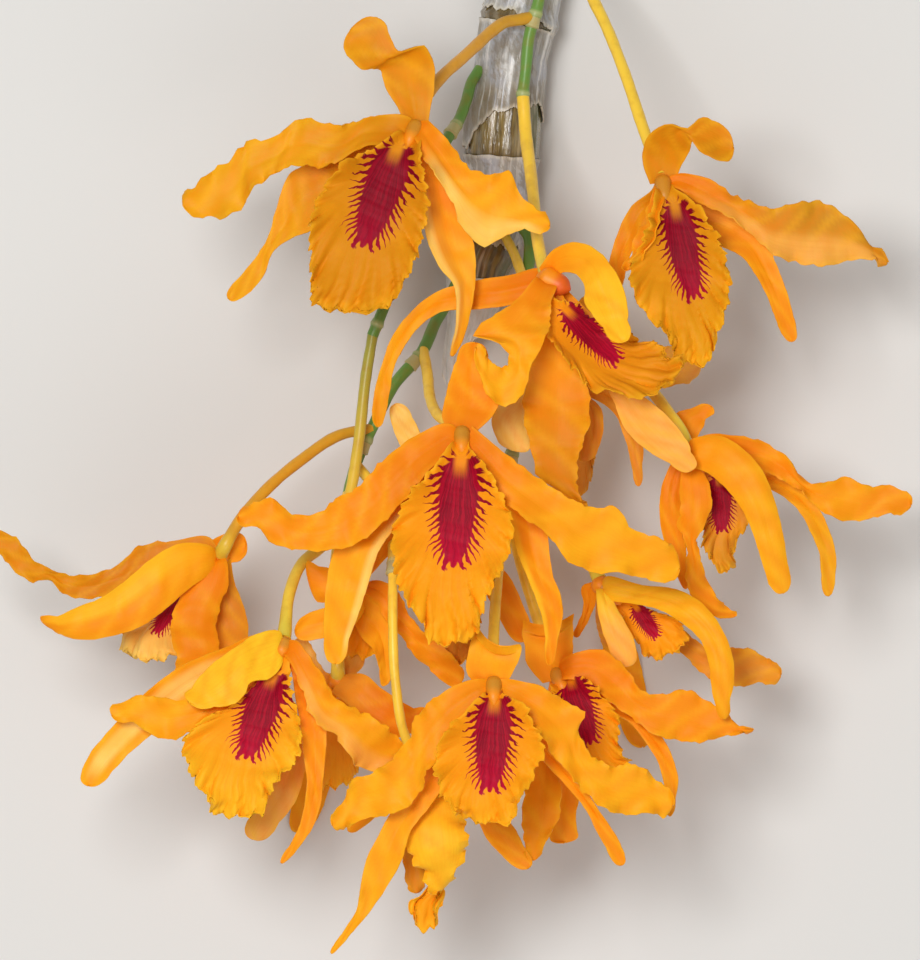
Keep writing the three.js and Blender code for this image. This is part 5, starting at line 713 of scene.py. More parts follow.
        ("petal", 0.12, 0.5, 1, {}, [
            (2.2, -11.4, 4.2, -12.2, 38.6), (6, -4.5, 10, -7.5, 40.2), (11, -0.6, 14.5, -4.6, 40.6),
        ]),
        ("dorsal", 0.12, 0, 1, dict(base=TAN, tip=PALE), [
            (0.8, -12.8, 4.6, -12, 37), (-2.4, -4, 2.6, -3.4, 35.4), (-6.4, 2.8, -1.8, 4.2, 35.6),
            (-9.8, 5.4, -6.4, 7.6, 36), (-11.2, 8.8, -7.9, 10.4, 36), (-11.5, 11.2, -9.2, 12, 36),
        ]),
    ]),
}


# ---------- numbers and curves ----------
def linear(rgb):
    """An sRGB colour, 0 to 255, as linear values."""
    c = np.asarray(rgb, float) / 255
    return np.where(c <= 0.04045, c / 12.92, ((c + 0.055) / 1.055) ** 2.4)


def mixed(a, b, amount):
    amount = np.asarray(amount)[..., None]
    return a * (1 - amount) + b * amount


def unit(a):
    return a / np.maximum(np.linalg.norm(a, axis=-1, keepdims=True), 1e-9)


def ease(x, low=0.0, high=1.0):
    """0 up to low, 1 from high on, smooth between."""
    t = np.clip((x - low) / (high - low), 0, 1)
    return t * t * (3 - 2 * t)


def between(x, start, risen, falling, end):
    """1 from risen to falling, and smooth down to 0 at start and at end."""
    return ease(x, start, risen) * (1 - ease(x, falling, end))


def stacked(*arrays):
    return np.stack(np.broadcast_arrays(*arrays), -1)


def turns(sides):
    return np.arange(sides) / sides * 2 * np.pi


def travel(points):
    """How far each point lies along the line through them all."""
    return np.concatenate([[0], np.cumsum(np.linalg.norm(np.diff(points, axis=0), axis=1))])


def subdivided(knots, step, least):
    """Places about a step apart, every knot among them, and at least so many from knot to knot."""
    spans = [
        np.linspace(a, b, max(least, round(abs(b - a) / step)), endpoint=False)
        for a, b in zip(knots, knots[1:])
    ]
    return np.concatenate(spans + [[knots[-1]]])


def ripple(x, pitch, seed, octaves=3):
    """Smooth waves of about that pitch, from -1 to 1, the same each run."""
    draw = np.random.default_rng(seed)
    total = np.zeros_like(np.asarray(x, float))
    for k in range(octaves):
        scale = draw.uniform(0.75, 1.35) * (1 + 0.9 * k)
        total += np.sin(2 * np.pi * x * scale / pitch + draw.uniform(0, 6.3)) / (1 + 0.8 * k)
    return total / 1.9


def through(rows, knots, at):
    """Smooth values through rows, one a knot, read at other places along the knots."""
    rows = np.asarray(rows, float)
    flat = rows.reshape(len(rows), -1)
    h = np.diff(knots)[:, None]
    slope = np.diff(flat, axis=0) / h
    tangent = np.empty_like(flat)
    tangent[0], tangent[-1] = slope[0], slope[-1]
    tangent[1:-1] = (h[:-1] * slope[1:] + h[1:] * slope[:-1]) / (h[:-1] + h[1:])
    i = np.clip(np.searchsorted(knots, at, side="right") - 1, 0, len(knots) - 2)
    t = ((at - knots[i]) / (knots[i + 1] - knots[i]))[:, None]
    made = (
        (2 * t**3 - 3 * t**2 + 1) * flat[i] + (t**3 - 2 * t**2 + t) * tangent[i] * h[i]
        + (3 * t**2 - 2 * t**3) * flat[i + 1] + (t**3 - t**2) * tangent[i + 1] * h[i]
    )
    return made.reshape((len(at),) + rows.shape[1:])


# ---------- the frame ----------
def frame_shift():
    """How far the CAD's frame lies from the growing frame, read from the cane."""
    turn, points = turns(CANE_SIDES)[:, None], []
    for i, (x, y, radius) in enumerate(CANE):
        before, after = (np.array(CANE[k][:2]) for k in (max(i - 1, 0), min(i + 1, len(CANE) - 1)))
        along = unit(after - before)
        across = np.array([-along[1], along[0], 0])
        points.append(np.array([x, y, CANE_HEIGHT]) + radius * (np.cos(turn) * across + np.sin(turn) * UP))
    points = np.concatenate(points)
    shift = (np.array(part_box("cane")) / MM - [points.min(0), points.max(0)]).mean(0)
    return np.array([shift[0], shift[1], 0.0])


SHIFT = frame_shift()


# ---------- meshes ----------
def placed(name, data):
    """A new object in the scene."""
    made = bpy.data.objects.new(name, data)
    bpy.context.scene.collection.objects.link(made)
    return made


class Shape:
    """Collects grids of points into one mesh, with a colour and a place for each point."""

    def __init__(self):
        self.points, self.faces, self.tints, self.places, self.materials = [], [], [], [], []
        self.count = 0

    def add(self, points, faces, tint, place, material=0):
        points = np.asarray(points, float).reshape(-1, 3)
        self.points.append(points)
        self.faces += [[v + self.count for v in face] for face in faces]
        tint = np.asarray(tint, float)
        if tint.shape[-1] == 3:
            tint = np.concatenate([tint, np.ones(tint.shape[:-1] + (1,))], -1)
        self.tints.append(np.broadcast_to(tint.reshape(-1, 4), (len(points), 4)))
        self.places.append(np.broadcast_to(np.asarray(place, float).reshape(-1, 3), (len(points), 3)))
        self.materials += [material] * len(faces)
        self.count += len(points)

    def finish(self, name, materials, sharp=55):
        """The piece of the node with that name, with edges sharper than so many degrees kept hard."""
        points = (np.concatenate(self.points) + SHIFT) * MM
        mesh = bpy.data.meshes.new(name)
        mesh.from_pydata(points.tolist(), [], self.faces)
        for material in materials:
            mesh.materials.append(material)
        mesh.polygons.foreach_set("material_index", np.array(self.materials, np.int32))
        tint = mesh.attributes.new("tint", "FLOAT_COLOR", "POINT")
        tint.data.foreach_set("color", np.concatenate(self.tints).ravel())
        place = mesh.attributes.new("place", "FLOAT_VECTOR", "POINT")
        place.data.foreach_set("vector", np.concatenate(self.places).ravel())
        mesh.polygons.foreach_set("use_smooth", np.ones(len(self.faces), bool))
        mesh.set_sharp_from_angle(angle=math.radians(sharp))
        mesh.update()
        made = placed(name, mesh)
        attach(made, "root")
        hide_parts(name)


def grid_faces(rows, cols, wrap=False):
    i, j = np.meshgrid(np.arange(rows - 1), np.arange(cols if wrap else cols - 1), indexing="ij")
    i, j = i.ravel(), j.ravel()
    k = (j + 1) % cols
    return np.stack([i * cols + j, i * cols + k, (i + 1) * cols + k, (i + 1) * cols + j], 1)


def tube_faces(rows, sides):
    """The faces of a closed tube, its two ends last."""
    ends = [list(range(sides))[::-1], list(range((rows - 1) * sides, rows * sides))]
    return grid_faces(rows, sides, wrap=True).tolist() + ends


def add_sheet(shape, grid, thickness, tint, place, material=0):
    """A closed sheet: both faces of the grid, and the rim between them."""
    rows, cols = grid.shape[:2]
    normal = unit(np.cross(np.gradient(grid, axis=1), np.gradient(grid, axis=0)))
    reach = np.broadcast_to(np.asarray(thickness, float), (rows, cols))[..., None] / 2
    points = np.concatenate([grid + normal * reach, grid - normal * reach]).reshape(-1, 3)
    top = grid_faces(rows, cols)
    rim = np.concatenate([
        np.arange(cols - 1), np.arange(rows - 1) * cols + cols - 1,
        rows * cols - 1 - np.arange(cols - 1), (rows - 1 - np.arange(rows - 1)) * cols,
    ])
    after = np.roll(rim, -1)
    side = np.stack([rim, rim + rows * cols, after + rows * cols, after], 1)
    faces = np.concatenate([top, top[:, ::-1] + rows * cols, side])
    tint, place = (
        np.tile(np.broadcast_to(a, (rows, cols, np.shape(a)[-1])).reshape(rows * cols, -1), (2, 1))
        for a in (tint, place)
    )
    shape.add(points, faces.tolist(), tint, place, material)


def add_tube(shape, centres, radii, sides, tint, place, material=0):
    """A closed round tube, with its rings carried along the curve without twist."""
    rows = len(centres)
    along = unit(np.gradient(centres, axis=0))
    across = np.zeros_like(centres)
    start = UP if abs(along[0][2]) < 0.9 else np.array([1.0, 0, 0])
    across[0] = unit(start - along[0] * start.dot(along[0]))
    for i in range(1, rows):
        across[i] = unit(across[i - 1] - along[i] * across[i - 1].dot(along[i]))
    turn = turns(sides)[None, :, None]
    way = np.cos(turn) * across[:, None] + np.sin(turn) * np.cross(along, across)[:, None]
    grid = centres[:, None] + way * np.asarray(radii)[:, None, None]
    tint, place = (np.repeat(np.broadcast_to(a, (rows, 3)), sides, axis=0) for a in (tint, place))
    shape.add(grid, tube_faces(rows, sides), tint, place, material)


# ---------- blades ----------
Blade = namedtuple("Blade", "kind cup wave bow look rungs")


def ends_of(rungs, heart):
    """Left and right ends of each rung, with one more in the heart where the first stands clear."""
    ends = []
    for lx, ly, rx, ry, z, *tilt in rungs:
        lean = tilt[0] / 2 if tilt else 0
        ends.append([(lx, ly, z - lean), (rx, ry, z + lean)])
    ends = np.array(ends, float)
    way = ends[0].mean(0) - heart
    if np.linalg.norm(way) >= ROOT_REACH:
        across = unit(ends[0][1] - ends[0][0]) * ROOT_WIDTH / 2
        middle = heart + unit(way) * ROOT_DEPTH
        ends = np.concatenate([[[middle - across, middle + across]], ends])
    return ends


def spread(blade, heart, row_step, cols):
    """A blade's close rows: where they lie along it, their middles, half widths and directions."""
    ends = ends_of(blade.rungs, np.array(heart, float))
    knots = travel(ends.mean(1))
    at = subdivided(knots, row_step, 2)
    rows = through(ends, knots, at)
    left, right = rows[:, 0], rows[:, 1]
    middle = (left + right) / 2
    half = np.linalg.norm(right - left, axis=1) / 2
    before, end = np.interp(knots[-2], at, half), half[-1]
    along = unit(np.gradient(middle, at, axis=0))
    for _ in range(2):
        along[1:-1] = unit(along[:-2] + 2 * along[1:-1] + along[2:])
    across = unit(right - left)

    # The tip: a round cap past the last rung, or all from the rung before where that one is wider.
    power, reach = (LIP_TIP, blade.bow) if blade.kind == "lip" else (LEAF_TIP, blade.bow + 0.2)
    past = np.sin(np.linspace(0, 1, TIP_ROWS + 1)[1:] * np.pi / 2 * 0.985) * reach
    middle = np.concatenate([middle, middle[-1] + along[-1] * past[:, None]])
    at = np.concatenate([at, knots[-1] + past])
    start, wide = (knots[-2], before) if end < 0.8 * before else (knots[-1], end)
    t = np.clip((at - start) / (knots[-1] + reach - start), 0, 1)
    narrow = (1 - t**power) ** (1 / power)
    narrow[-1] = 0.3 * narrow[-2]
    if "horns" in blade.look:
        narrow = np.maximum(narrow, 0.93)
    half = np.where(at > start, wide * narrow, np.concatenate([half, past * 0 + end]))
    half *= blade.look.get("broad", 1)
    along, across = (np.concatenate([a, np.repeat(a[-1:], len(past), 0)]) for a in (along, across))
    # v runs from -1 at the left edge to 1 at the right one, closer towards the edges.
    widest = np.pi / 2 * 0.84
    return SimpleNamespace(
        at=at[:, None], u=(at / at[-1])[:, None], length=at[-1], last=len(knots) - 1,
        index=np.interp(at, knots, np.arange(len(knots)))[:, None],
        v=(np.sin(np.linspace(-1, 1, cols) * widest) / math.sin(widest))[None],
        middle=middle[:, None], half=half[:, None], along=along[:, None], across=across[:, None],
        face=unit(np.cross(across, along))[:, None],
    )


def swing(b, wave):
    """The waves of a blade's edges, one side up as the other goes down."""
    return -wave * np.minimum(1, b.index / 2) * np.cos(np.pi * b.index) * b.v**2 * np.sign(b.v)


def leaf_blade(shape, blade, heart, seed):
    """A sepal or petal, cupped and ruffled, with its colours."""
    look, b = blade.look, spread(blade, heart, LEAF_STEP, LEAF_COLUMNS)
    v, at, u = b.v, b.at, b.u
    side, edge = np.sign(v), np.abs(v)

    def ruffle(pitch, k):
        """Waves along the blade, with others on its other side."""
        return np.where(v < 0, ripple(at, pitch, seed + k), ripple(at, pitch, seed + k + 50))

    frill = look.get("frill", FRILLS[blade.kind])
    lift = blade.cup * b.half * (v**2 - 1) + swing(b, blade.wave)
    lift += frill * (0.95 * ruffle(6.4, 1) * edge**2.5 + 0.45 * ruffle(3.2, 2) * edge**5) * ease(u, 0.08, 0.35)
    lift -= 0.2 * np.exp(-((v / 0.18) ** 2)) * between(u, 0, 0.12, 0.6, 0.95)  # the groove of the midrib
    lift += 0.25 * ripple(at + v, 9, seed + 3) * (1 - edge**2) + 0.05 * ripple(v * b.half, 2.4, seed + 4)
    wide = b.half * v + side * frill * 0.42 * ruffle(3.6, 5) * edge**4 * ease(u, 0.1, 0.3)
    grid = b.middle + b.across * wide[..., None] + b.face * lift[..., None]
    # A blade bent away at its end shows a hollow edge between two horns.
    grid += b.along * (look.get("horns", 0) * (v**2 - 0.7) * ease(u, 0.7, 1.0))[..., None]
    thick = BLADE
    if blade.kind == "rest":
        thick = REST_BLADE
        grid[..., 2] = np.maximum(grid[..., 2], REST_BLADE / 2)

    base, tip = linear(look.get("base", DEEP)), linear(look.get("tip", ORANGE))
    tint = mixed(base, tip, np.broadcast_to(ease(u, 0.0, look.get("fade", 0.7)), lift.shape))
    # Painted highlights and painted shade: random streaks of yellow and of deeper orange across the blade, for
    # ridges that catch the light and hollows that don't.
    highlight_and_shade = ripple(at * 0.4 + v * 1.7, 2.6, seed + 30, 1)
    tint = mixed(tint, linear(YELLOW), 0.45 * ease(highlight_and_shade, 0.1, 0.8) * ease(u, 0.1, 0.4))
    tint = mixed(tint, linear(DEEP), 0.4 * ease(-highlight_and_shade, 0.1, 0.8))
    # A band lays a stripe of another colour along the blade; the pale and yellow bands are painted highlights.
    if "band" in look:
        low, high, colour = look["band"]
        across = between(v, low - 0.25, low + 0.25, high - 0.25, high + 0.25)
        tint = mixed(tint, linear(colour), 0.75 * across * between(u, 0.1, 0.35, 0.88, 1.0))
    # An edge look lays a pale stripe along one margin: a painted highlight on a rolled edge.
    if "edge" in look:
        which, colour = look["edge"]
        tint = mixed(tint, linear(colour), 0.85 * ease(v * which, 0.45, 0.8) * between(u, 0.2, 0.4, 0.9, 1.0))
    # The alpha carries how near a point is to the edge, where the paint lays on a painted highlight.
    tint = np.concatenate([tint, np.broadcast_to(edge, lift.shape)[..., None]], -1)
    thick = thick * (1 - 0.55 * edge**6) * (1 - 0.4 * ease(u, 0.93, 1.0))
    add_sheet(shape, grid, thick, tint, stacked(v, at, np.float64(seed * 3.7)), PETAL)


def rim_of(b):
    """A lip's bearings from its hub, the way along its rim from the tip, and its margin, 0 at the hub."""
    x, beyond = b.half * b.v, b.at - LIP_HUB * b.length
    rim = np.concatenate([np.concatenate([b.half, beyond], 1), [[0, beyond[-1, 0]]]])
    travelled = travel(rim)
    bearing = np.minimum.accumulate(np.arctan2(rim[:, 0], rim[:, 1]))
    turn = np.arctan2(np.abs(x), beyond)
    along_rim = np.sign(b.v) * (travelled[-1] - np.interp(-turn, -bearing, travelled))
    outer = np.interp(-turn, -bearing, np.linalg.norm(rim, axis=1))
    margin = np.clip(np.hypot(x, beyond) / np.maximum(outer, 0.3), 0, 1)
    return turn, along_rim, np.maximum(margin, np.abs(b.v) ** 2 * ease(b.u, 0.02, 0.2))


def blotch_place(grid, start, end, width):
    """Where points lie in a blotch: across it, -1 to 1, and along its axis, 0 to 1."""
    start, axis = np.array(start, float), np.array(end, float) - start
    flat = grid[..., :2] - start
    across = (flat[..., 0] * axis[1] - flat[..., 1] * axis[0]) / np.linalg.norm(axis) / (width / 2)
    return across, (flat @ axis) / axis.dot(axis)


def lip_blade(shape, blade, heart, seed):
    """A lip, with ruffles and teeth that run outwards from its hub."""
    look, b = blade.look, spread(blade, heart, LIP_STEP, LIP_COLUMNS)
    v, at, u = b.v, b.at, b.u
    x, (turn, along_rim, margin) = b.half * v, rim_of(b)
    grown, frill = ease(u, 0.06, 0.3), look.get("frill", 1.0)
    astray = along_rim + 0.9 * ripple(at + 0.7 * x, 6, seed + 20, 1) * (1 - margin)
    astray += 0.3 * ripple(at - x, 2.6, seed + 21, 1)

    waves = ripple(astray, 5.2, seed, 2) * ease(margin, 0.5, 1.1)
    waves += 0.7 * ripple(astray, 2.5, seed + 5, 2) * ease(margin, 0.72, 1.1) ** 1.3
    waves += 0.5 * ripple(astray, 11, seed + 8, 1) * ease(margin, 0.25, 1.0)
    lift = blade.cup * b.half * (1 - 0.75 * b.index / b.last) * (v**2 - 1) + swing(b, blade.wave)
    lift += frill * grown * waves
    lift += 0.05 * ripple(astray, 1.7, seed + 2, 2) * grown * ease(margin, 0.15, 0.5)
    lift += 0.12 * ripple(at + 0.3 * x, 3.1, seed + 13) * (1 - margin)
    lift += 0.4 * np.exp(-((x / 0.8) ** 2)) * between(u, 0.5, 0.62, 0.8, 0.95)  # a keel near the tip
    # The side lobes rise a little round the column.
    lift += look.get("lobes", 1.1) * ease(np.abs(v), 0.5, 1.0) * between(u, 0.02, 0.14, 0.26, 0.5)
    teeth = 0.6 * ripple(astray, 3.3, seed + 9, 2) + 0.36 * ripple(astray, 1.35, seed + 4, 2)
    out = frill * teeth * grown * margin**7
    aside, ahead = x + out * np.sign(v) * np.sin(turn), out * np.cos(turn)
    grid = b.middle + b.face * lift[..., None] + b.across * aside[..., None] + b.along * ahead[..., None]

    base, tip = linear(look.get("base", ORANGE)), linear(look.get("tip", GOLD))
    tint = mixed(base, tip, np.clip(0.35 * ease(u, 0.2, 1.0) + 0.65 * margin**3, 0, 1))
    tint = np.concatenate([tint, margin[..., None]], -1)
    across, along = blotch_place(grid, *look["blotch"]) if "blotch" in look else (FAR, FAR)
    place = stacked(across, along, along_rim + seed * 9)
    add_sheet(shape, grid, BLADE * (1 - 0.6 * margin**6), tint, place, LIP)


def heart_and_column(shape, bloom, look):
    """The low fleshy middle, and the hooded column that leans over the lip."""
    heart, face, lipward = (np.array(bloom[key], float) for key in ("heart", "face", "lipward"))
    face, lipward = unit(face), unit(lipward)
    t = np.linspace(-1, 1, HEART_ROWS)
    low = heart - face * 0.7 + face * (t * HEART_HALF)[:, None]
    girth = HEART_RADIUS * np.sqrt(np.clip(1 - t**2, 0.003, 1))
    add_tube(shape, low, girth, COLUMN_SIDES, linear(look.get("heart", ORANGE)), (0, 0, 5), COLUMN)
    length = look.get("column", COLUMN_LENGTH)
    t = np.linspace(0, 1, COLUMN_ROWS)
    way = unit(face * 0.35 + lipward)
    curve = heart + way * (t * length - 1.2)[:, None] + face * (0.2 + 0.7 * t - 0.6 * t**2)[:, None]
    hood = COLUMN_RADIUS * look.get("girth", 1) * (1 - 0.36 * t)
    hood *= np.sqrt(np.clip(1 - ease(t, 0.55, 1.03) ** 2, 0.02, 1) * np.clip(ease(t, -0.2, 0.2), 0.02, 1))
    tone = mixed(linear(look.get("back", OCHRE)), linear(look.get("cap", ORANGE)), ease(t, 0.35, 0.7))
    add_tube(shape, curve, hood, COLUMN_SIDES, tone, stacked(0, t * length, 9), COLUMN)


# ---------- materials ----------
def paint_of(rgb, shade=1.0):
    return tuple(float(c * shade) for c in linear(rgb))


class Paint:
    """A few words for building a material's nodes."""

    def __init__(self, name):
        self.material = bpy.data.materials.new(name)
        self.material.use_nodes = True
        self.nodes, self.links = self.material.node_tree.nodes, self.material.node_tree.links
        self.shader = self.nodes["Principled BSDF"]

    def put(self, socket, value):
        if isinstance(value, bpy.types.NodeSocket):
            self.links.new(value, socket)
        elif isinstance(value, tuple) and len(value) == 3 and socket.type == "RGBA":
            socket.default_value = (*value, 1)
        else:
            socket.default_value = value

    def node(self, kind, inputs, **settings):
        """A node of that kind, with inputs by name or number."""
        node = self.nodes.new("ShaderNode" + kind)
        for name, value in settings.items():
            setattr(node, name, value)
        for key, value in inputs.items():
            self.put(node.inputs[key], value)
        return node

    def math(self, operation, *values):
        return self.node("Math", dict(enumerate(values)), operation=operation).outputs[0]

    def chain(self, operation, first, *others):
        for other in others:
            first = self.math(operation, first, other)
        return first

    def times(self, *values):
        return self.chain("MULTIPLY", *values)

    def plus(self, *values):
        return self.chain("ADD", *values)

    def minus(self, a, b):
        return self.math("SUBTRACT", a, b)

    def power(self, a, b):
        return self.math("POWER", a, b)

    def size(self, a):
        return self.math("ABSOLUTE", a)

    def step(self, value, low, high):
        """0 at low and 1 at high, smooth between; low may lie above high."""
        ends = {"To Min": 1, "To Max": 0} if low > high else {"To Min": 0, "To Max": 1}
        ends.update({"Value": value, "From Min": min(low, high), "From Max": max(low, high)})
        return self.node("MapRange", ends, interpolation_type="SMOOTHSTEP").outputs["Result"]

    def blend(self, amount, a, b):
        return self.node("Mix", {"Factor": amount, 6: a, 7: b}, data_type="RGBA").outputs[2]

    def lay(self, colour, rgb, amount, *masks, shade=1.0):
        """The colour with another one laid over it by that amount, where the masks are 1."""
        return self.blend(self.times(*masks, amount), colour, paint_of(rgb, shade))

    def attribute(self, name, output="Color"):
        return self.node("Attribute", {}, attribute_name=name).outputs[output]

    def parts(self, vector):
        return self.node("SeparateXYZ", {0: vector}).outputs

    def noise(self, vector, scale, detail=2.0, rough=0.5):
        """Noise at a place, which is a socket or a tuple of two or three values."""
        if isinstance(vector, tuple):
            vector = self.node("CombineXYZ", dict(enumerate(vector))).outputs[0]
        inputs = {"Vector": vector, "Scale": scale, "Detail": detail, "Roughness": rough}
        return self.node("TexNoise", inputs).outputs["Fac"]

    def position(self):
        return self.node("TexCoord", {}).outputs["Object"]

    def bump(self, height, strength, distance):
        node = self.node("Bump", {"Strength": strength, "Distance": distance, "Height": height})
        self.put(self.shader.inputs["Normal"], node.outputs["Normal"])

    def set(self, **values):
        for name, value in values.items():
            self.put(self.shader.inputs[name.replace("_", " ")], value)
        return self.material


def petal_paint():
    """Satin petals with faint veins along them and painted highlights along their margins."""
    p = Paint("petal")
    x, y, seed = p.parts(p.attribute("place", "Vector"))
    tint, edge = p.attribute("tint"), p.attribute("tint", "Alpha")
    veins = p.noise((p.times(x, 9.0), p.times(y, 0.05), seed), 1.6, 3.0, 0.6)
    cloud = p.noise(p.position(), 130.0)
    # Painted highlight: the margins are laid lighter yellow, for light through the thin edges.
    colour = p.lay(tint, YELLOW, 0.25, p.step(edge, 0.7, 1.0))
    colour = p.lay(colour, DEEP, 0.1, p.step(veins, 0.45, 0.65), shade=0.9)
    colour = p.lay(colour, GOLD, 0.3, p.step(cloud, 0.48, 0.7))
    colour = p.lay(colour, DEEP, 0.2, p.step(cloud, 0.48, 0.3))
    p.bump(veins, 0.15, 0.0002)
    return p.set(
        Base_Color=colour, Roughness=0.48, Specular_IOR_Level=0.12, Subsurface_Weight=0.1,
        Subsurface_Radius=(1.0, 0.4, 0.05), Subsurface_Scale=0.001,
    )


def blotch_veins(p, x, y):
    """The side, straying and bearing of veins that leave the blotch's axis and bend round to its tip."""
    aside, side = p.size(x), p.math("GREATER_THAN", x, 0.0)
    level = p.times(p.minus(y, p.times(aside, 0.26)), 3.2)
    upper, lower = (
        p.math("SQRT", p.plus(p.times(aside, aside), p.power(p.size(p.plus(level, -focus)), 2.0)))
        for focus in (-0.1, 2.1)
    )
    vein = p.math("ARCCOSINE", p.times(p.minus(upper, lower), 1 / 2.21))
    astray = p.plus(p.noise((p.times(x, 2.4), p.times(y, 8.0)), 1.0), -0.5)
    return side, astray, p.plus(vein, p.times(astray, 0.34))


def lip_paint():
    """Orange with fine veins that fan out, and a crimson blotch: a blunt spindle, frayed by its veins."""
    p = Paint("lip")
    x, y, rim = p.parts(p.attribute("place", "Vector"))
    tint, margin = p.attribute("tint"), p.attribute("tint", "Alpha")
    fan = p.noise((p.times(rim, 0.9), p.times(margin, 1.2), 1.7), 1.5, 3.0, 0.6)
    cloud = p.noise(p.position(), 200.0)
    colour = p.lay(tint, DEEP, 0.22, p.step(fan, 0.45, 0.65), p.step(margin, 0.2, 0.7), shade=0.9)
    colour = p.lay(colour, GOLD, 0.3, p.step(cloud, 0.48, 0.7))
    colour = p.lay(colour, YELLOW, 0.4, p.step(margin, 0.9, 1.0))

    # out is 1 on the spindle's outline, and the barbs of the comb stand out past it.
    side, astray, bent = blotch_veins(p, x, y)
    comb = p.math("SINE", p.times(bent, p.plus(33.0, p.times(side, 5.0))))
    comb = p.power(p.plus(p.times(comb, 0.5), 0.5), 1.5)
    length = p.noise((p.times(bent, 14.0), p.times(side, 5.0)), 1.6, 1.0)
    wide = p.power(p.times(p.size(x), p.plus(0.76, p.times(y, 0.62)), 1 / 0.62), 2.0)
    tall = p.power(p.times(p.size(p.plus(y, -0.44)), 1 / 0.52), 2.8)
    out = p.power(p.plus(wide, tall), 0.4)
    fray = p.times(
        comb, p.plus(p.times(length, 1.3), -0.2), p.plus(0.35, p.times(p.step(y, 0.0, 0.3), 0.65)),
        p.step(y, 1.06, 0.84),
    )
    red = p.step(p.minus(p.plus(fray, 0.86), out), -0.02, 0.05)
    red = p.times(red, p.step(out, 1.6, 1.4), p.step(y, 1.02, 1.0))
    notch = p.times(p.step(p.size(x), 0.26, 0.08), p.step(y, 0.2, 0.02))
    red = p.times(red, p.minus(1.0, p.times(notch, 0.9)))

    bearing = p.plus(p.math("ARCTAN2", x, p.plus(p.times(y, 2.2), 0.5)), p.times(astray, 0.12))
    streaks = p.noise((p.times(bearing, 16.0), p.times(y, 1.2)), 1.5, 2.0, 0.6)
    deep = p.lay(paint_of(CRIMSON), DARK_CRIMSON, 0.8, p.step(streaks, 0.4, 0.6))
    deep = p.lay(deep, PINK, 0.5, p.step(y, 0.45, 1.0))
    deep = p.lay(deep, DARK_CRIMSON, 0.5, p.step(out, 0.6, 1.3), p.step(y, 0.7, 0.3))
    # Painted shade: a lip painted darker for the dimmer upper blooms gets a darker blotch too.
    painted_light_level = p.math("MINIMUM", p.power(p.times(p.parts(tint)[0], 1.25), 3.0), 1.0)
    deep = p.blend(painted_light_level, paint_of(DARK_CRIMSON, 0.7), deep)
    p.bump(p.plus(p.times(fan, 0.6), p.times(streaks, red, 0.6)), 0.25, 0.0003)
    return p.set(
        Base_Color=p.blend(red, colour, deep), Roughness=0.55, Specular_IOR_Level=0.12,
        Subsurface_Weight=0.06, Subsurface_Radius=(1.0, 0.4, 0.05), Subsurface_Scale=0.0008,
    )


def plain_paint(name, roughness):
    """Stems and columns, with a few darker specks."""
    p = Paint(name)
    spots = p.noise(p.position(), 400.0, 3.0)
    p.bump(spots, 0.2, 0.0002)
    return p.set(
        Base_Color=p.lay(p.attribute("tint"), BROWN, 0.2, p.step(spots, 0.45, 0.7)), Roughness=roughness,
        Specular_IOR_Level=0.4, Subsurface_Weight=0.08, Subsurface_Radius=(1.0, 0.6, 0.2),
        Subsurface_Scale=0.001,
    )


def cane_paint():
    """Glossy olive-brown skin, with streaks along it and pale streaks that are partly remains of a film and
    partly painted highlights along its ribs.
    """
    p = Paint("cane")
    turn, y, node = p.parts(p.attribute("place", "Vector"))
    streaks = p.noise((p.times(turn, 4.0), p.times(y, 0.06)), 1.8, 4.0, 0.6)
    cloud = p.noise((p.times(turn, 1.5), p.times(y, 0.12), 4.0), 1.5, 3.0, 0.55)
    film_and_highlight = p.noise((p.times(turn, 4.5), p.times(y, 0.07), 9.0), 1.6, 3.0, 0.6)
    colour = p.blend(p.step(streaks, 0.36, 0.64), paint_of(CANE_DARK), paint_of(CANE_LIGHT))
    colour = p.lay(colour, CANE_OLIVE, 0.7, p.step(turn, 0.5, 0.85))
    colour = p.lay(colour, CANE_CLOUD, 0.5, p.step(cloud, 0.5, 0.7))
    # Pale streaks: partly a film's remains, partly painted glossy highlights along the ribs.
    colour = p.lay(colour, CANE_FILM_AND_HIGHLIGHT, 0.5, p.step(film_and_highlight, 0.5, 0.7))
    colour = p.lay(colour, CANE_RING, 0.75, node)
    p.bump(p.plus(streaks, film_and_highlight), 0.5, 0.0004)
    return p.set(
        Base_Color=colour, Roughness=0.22, Specular_IOR_Level=0.6, Coat_Weight=0.6, Coat_Roughness=0.12,
    )


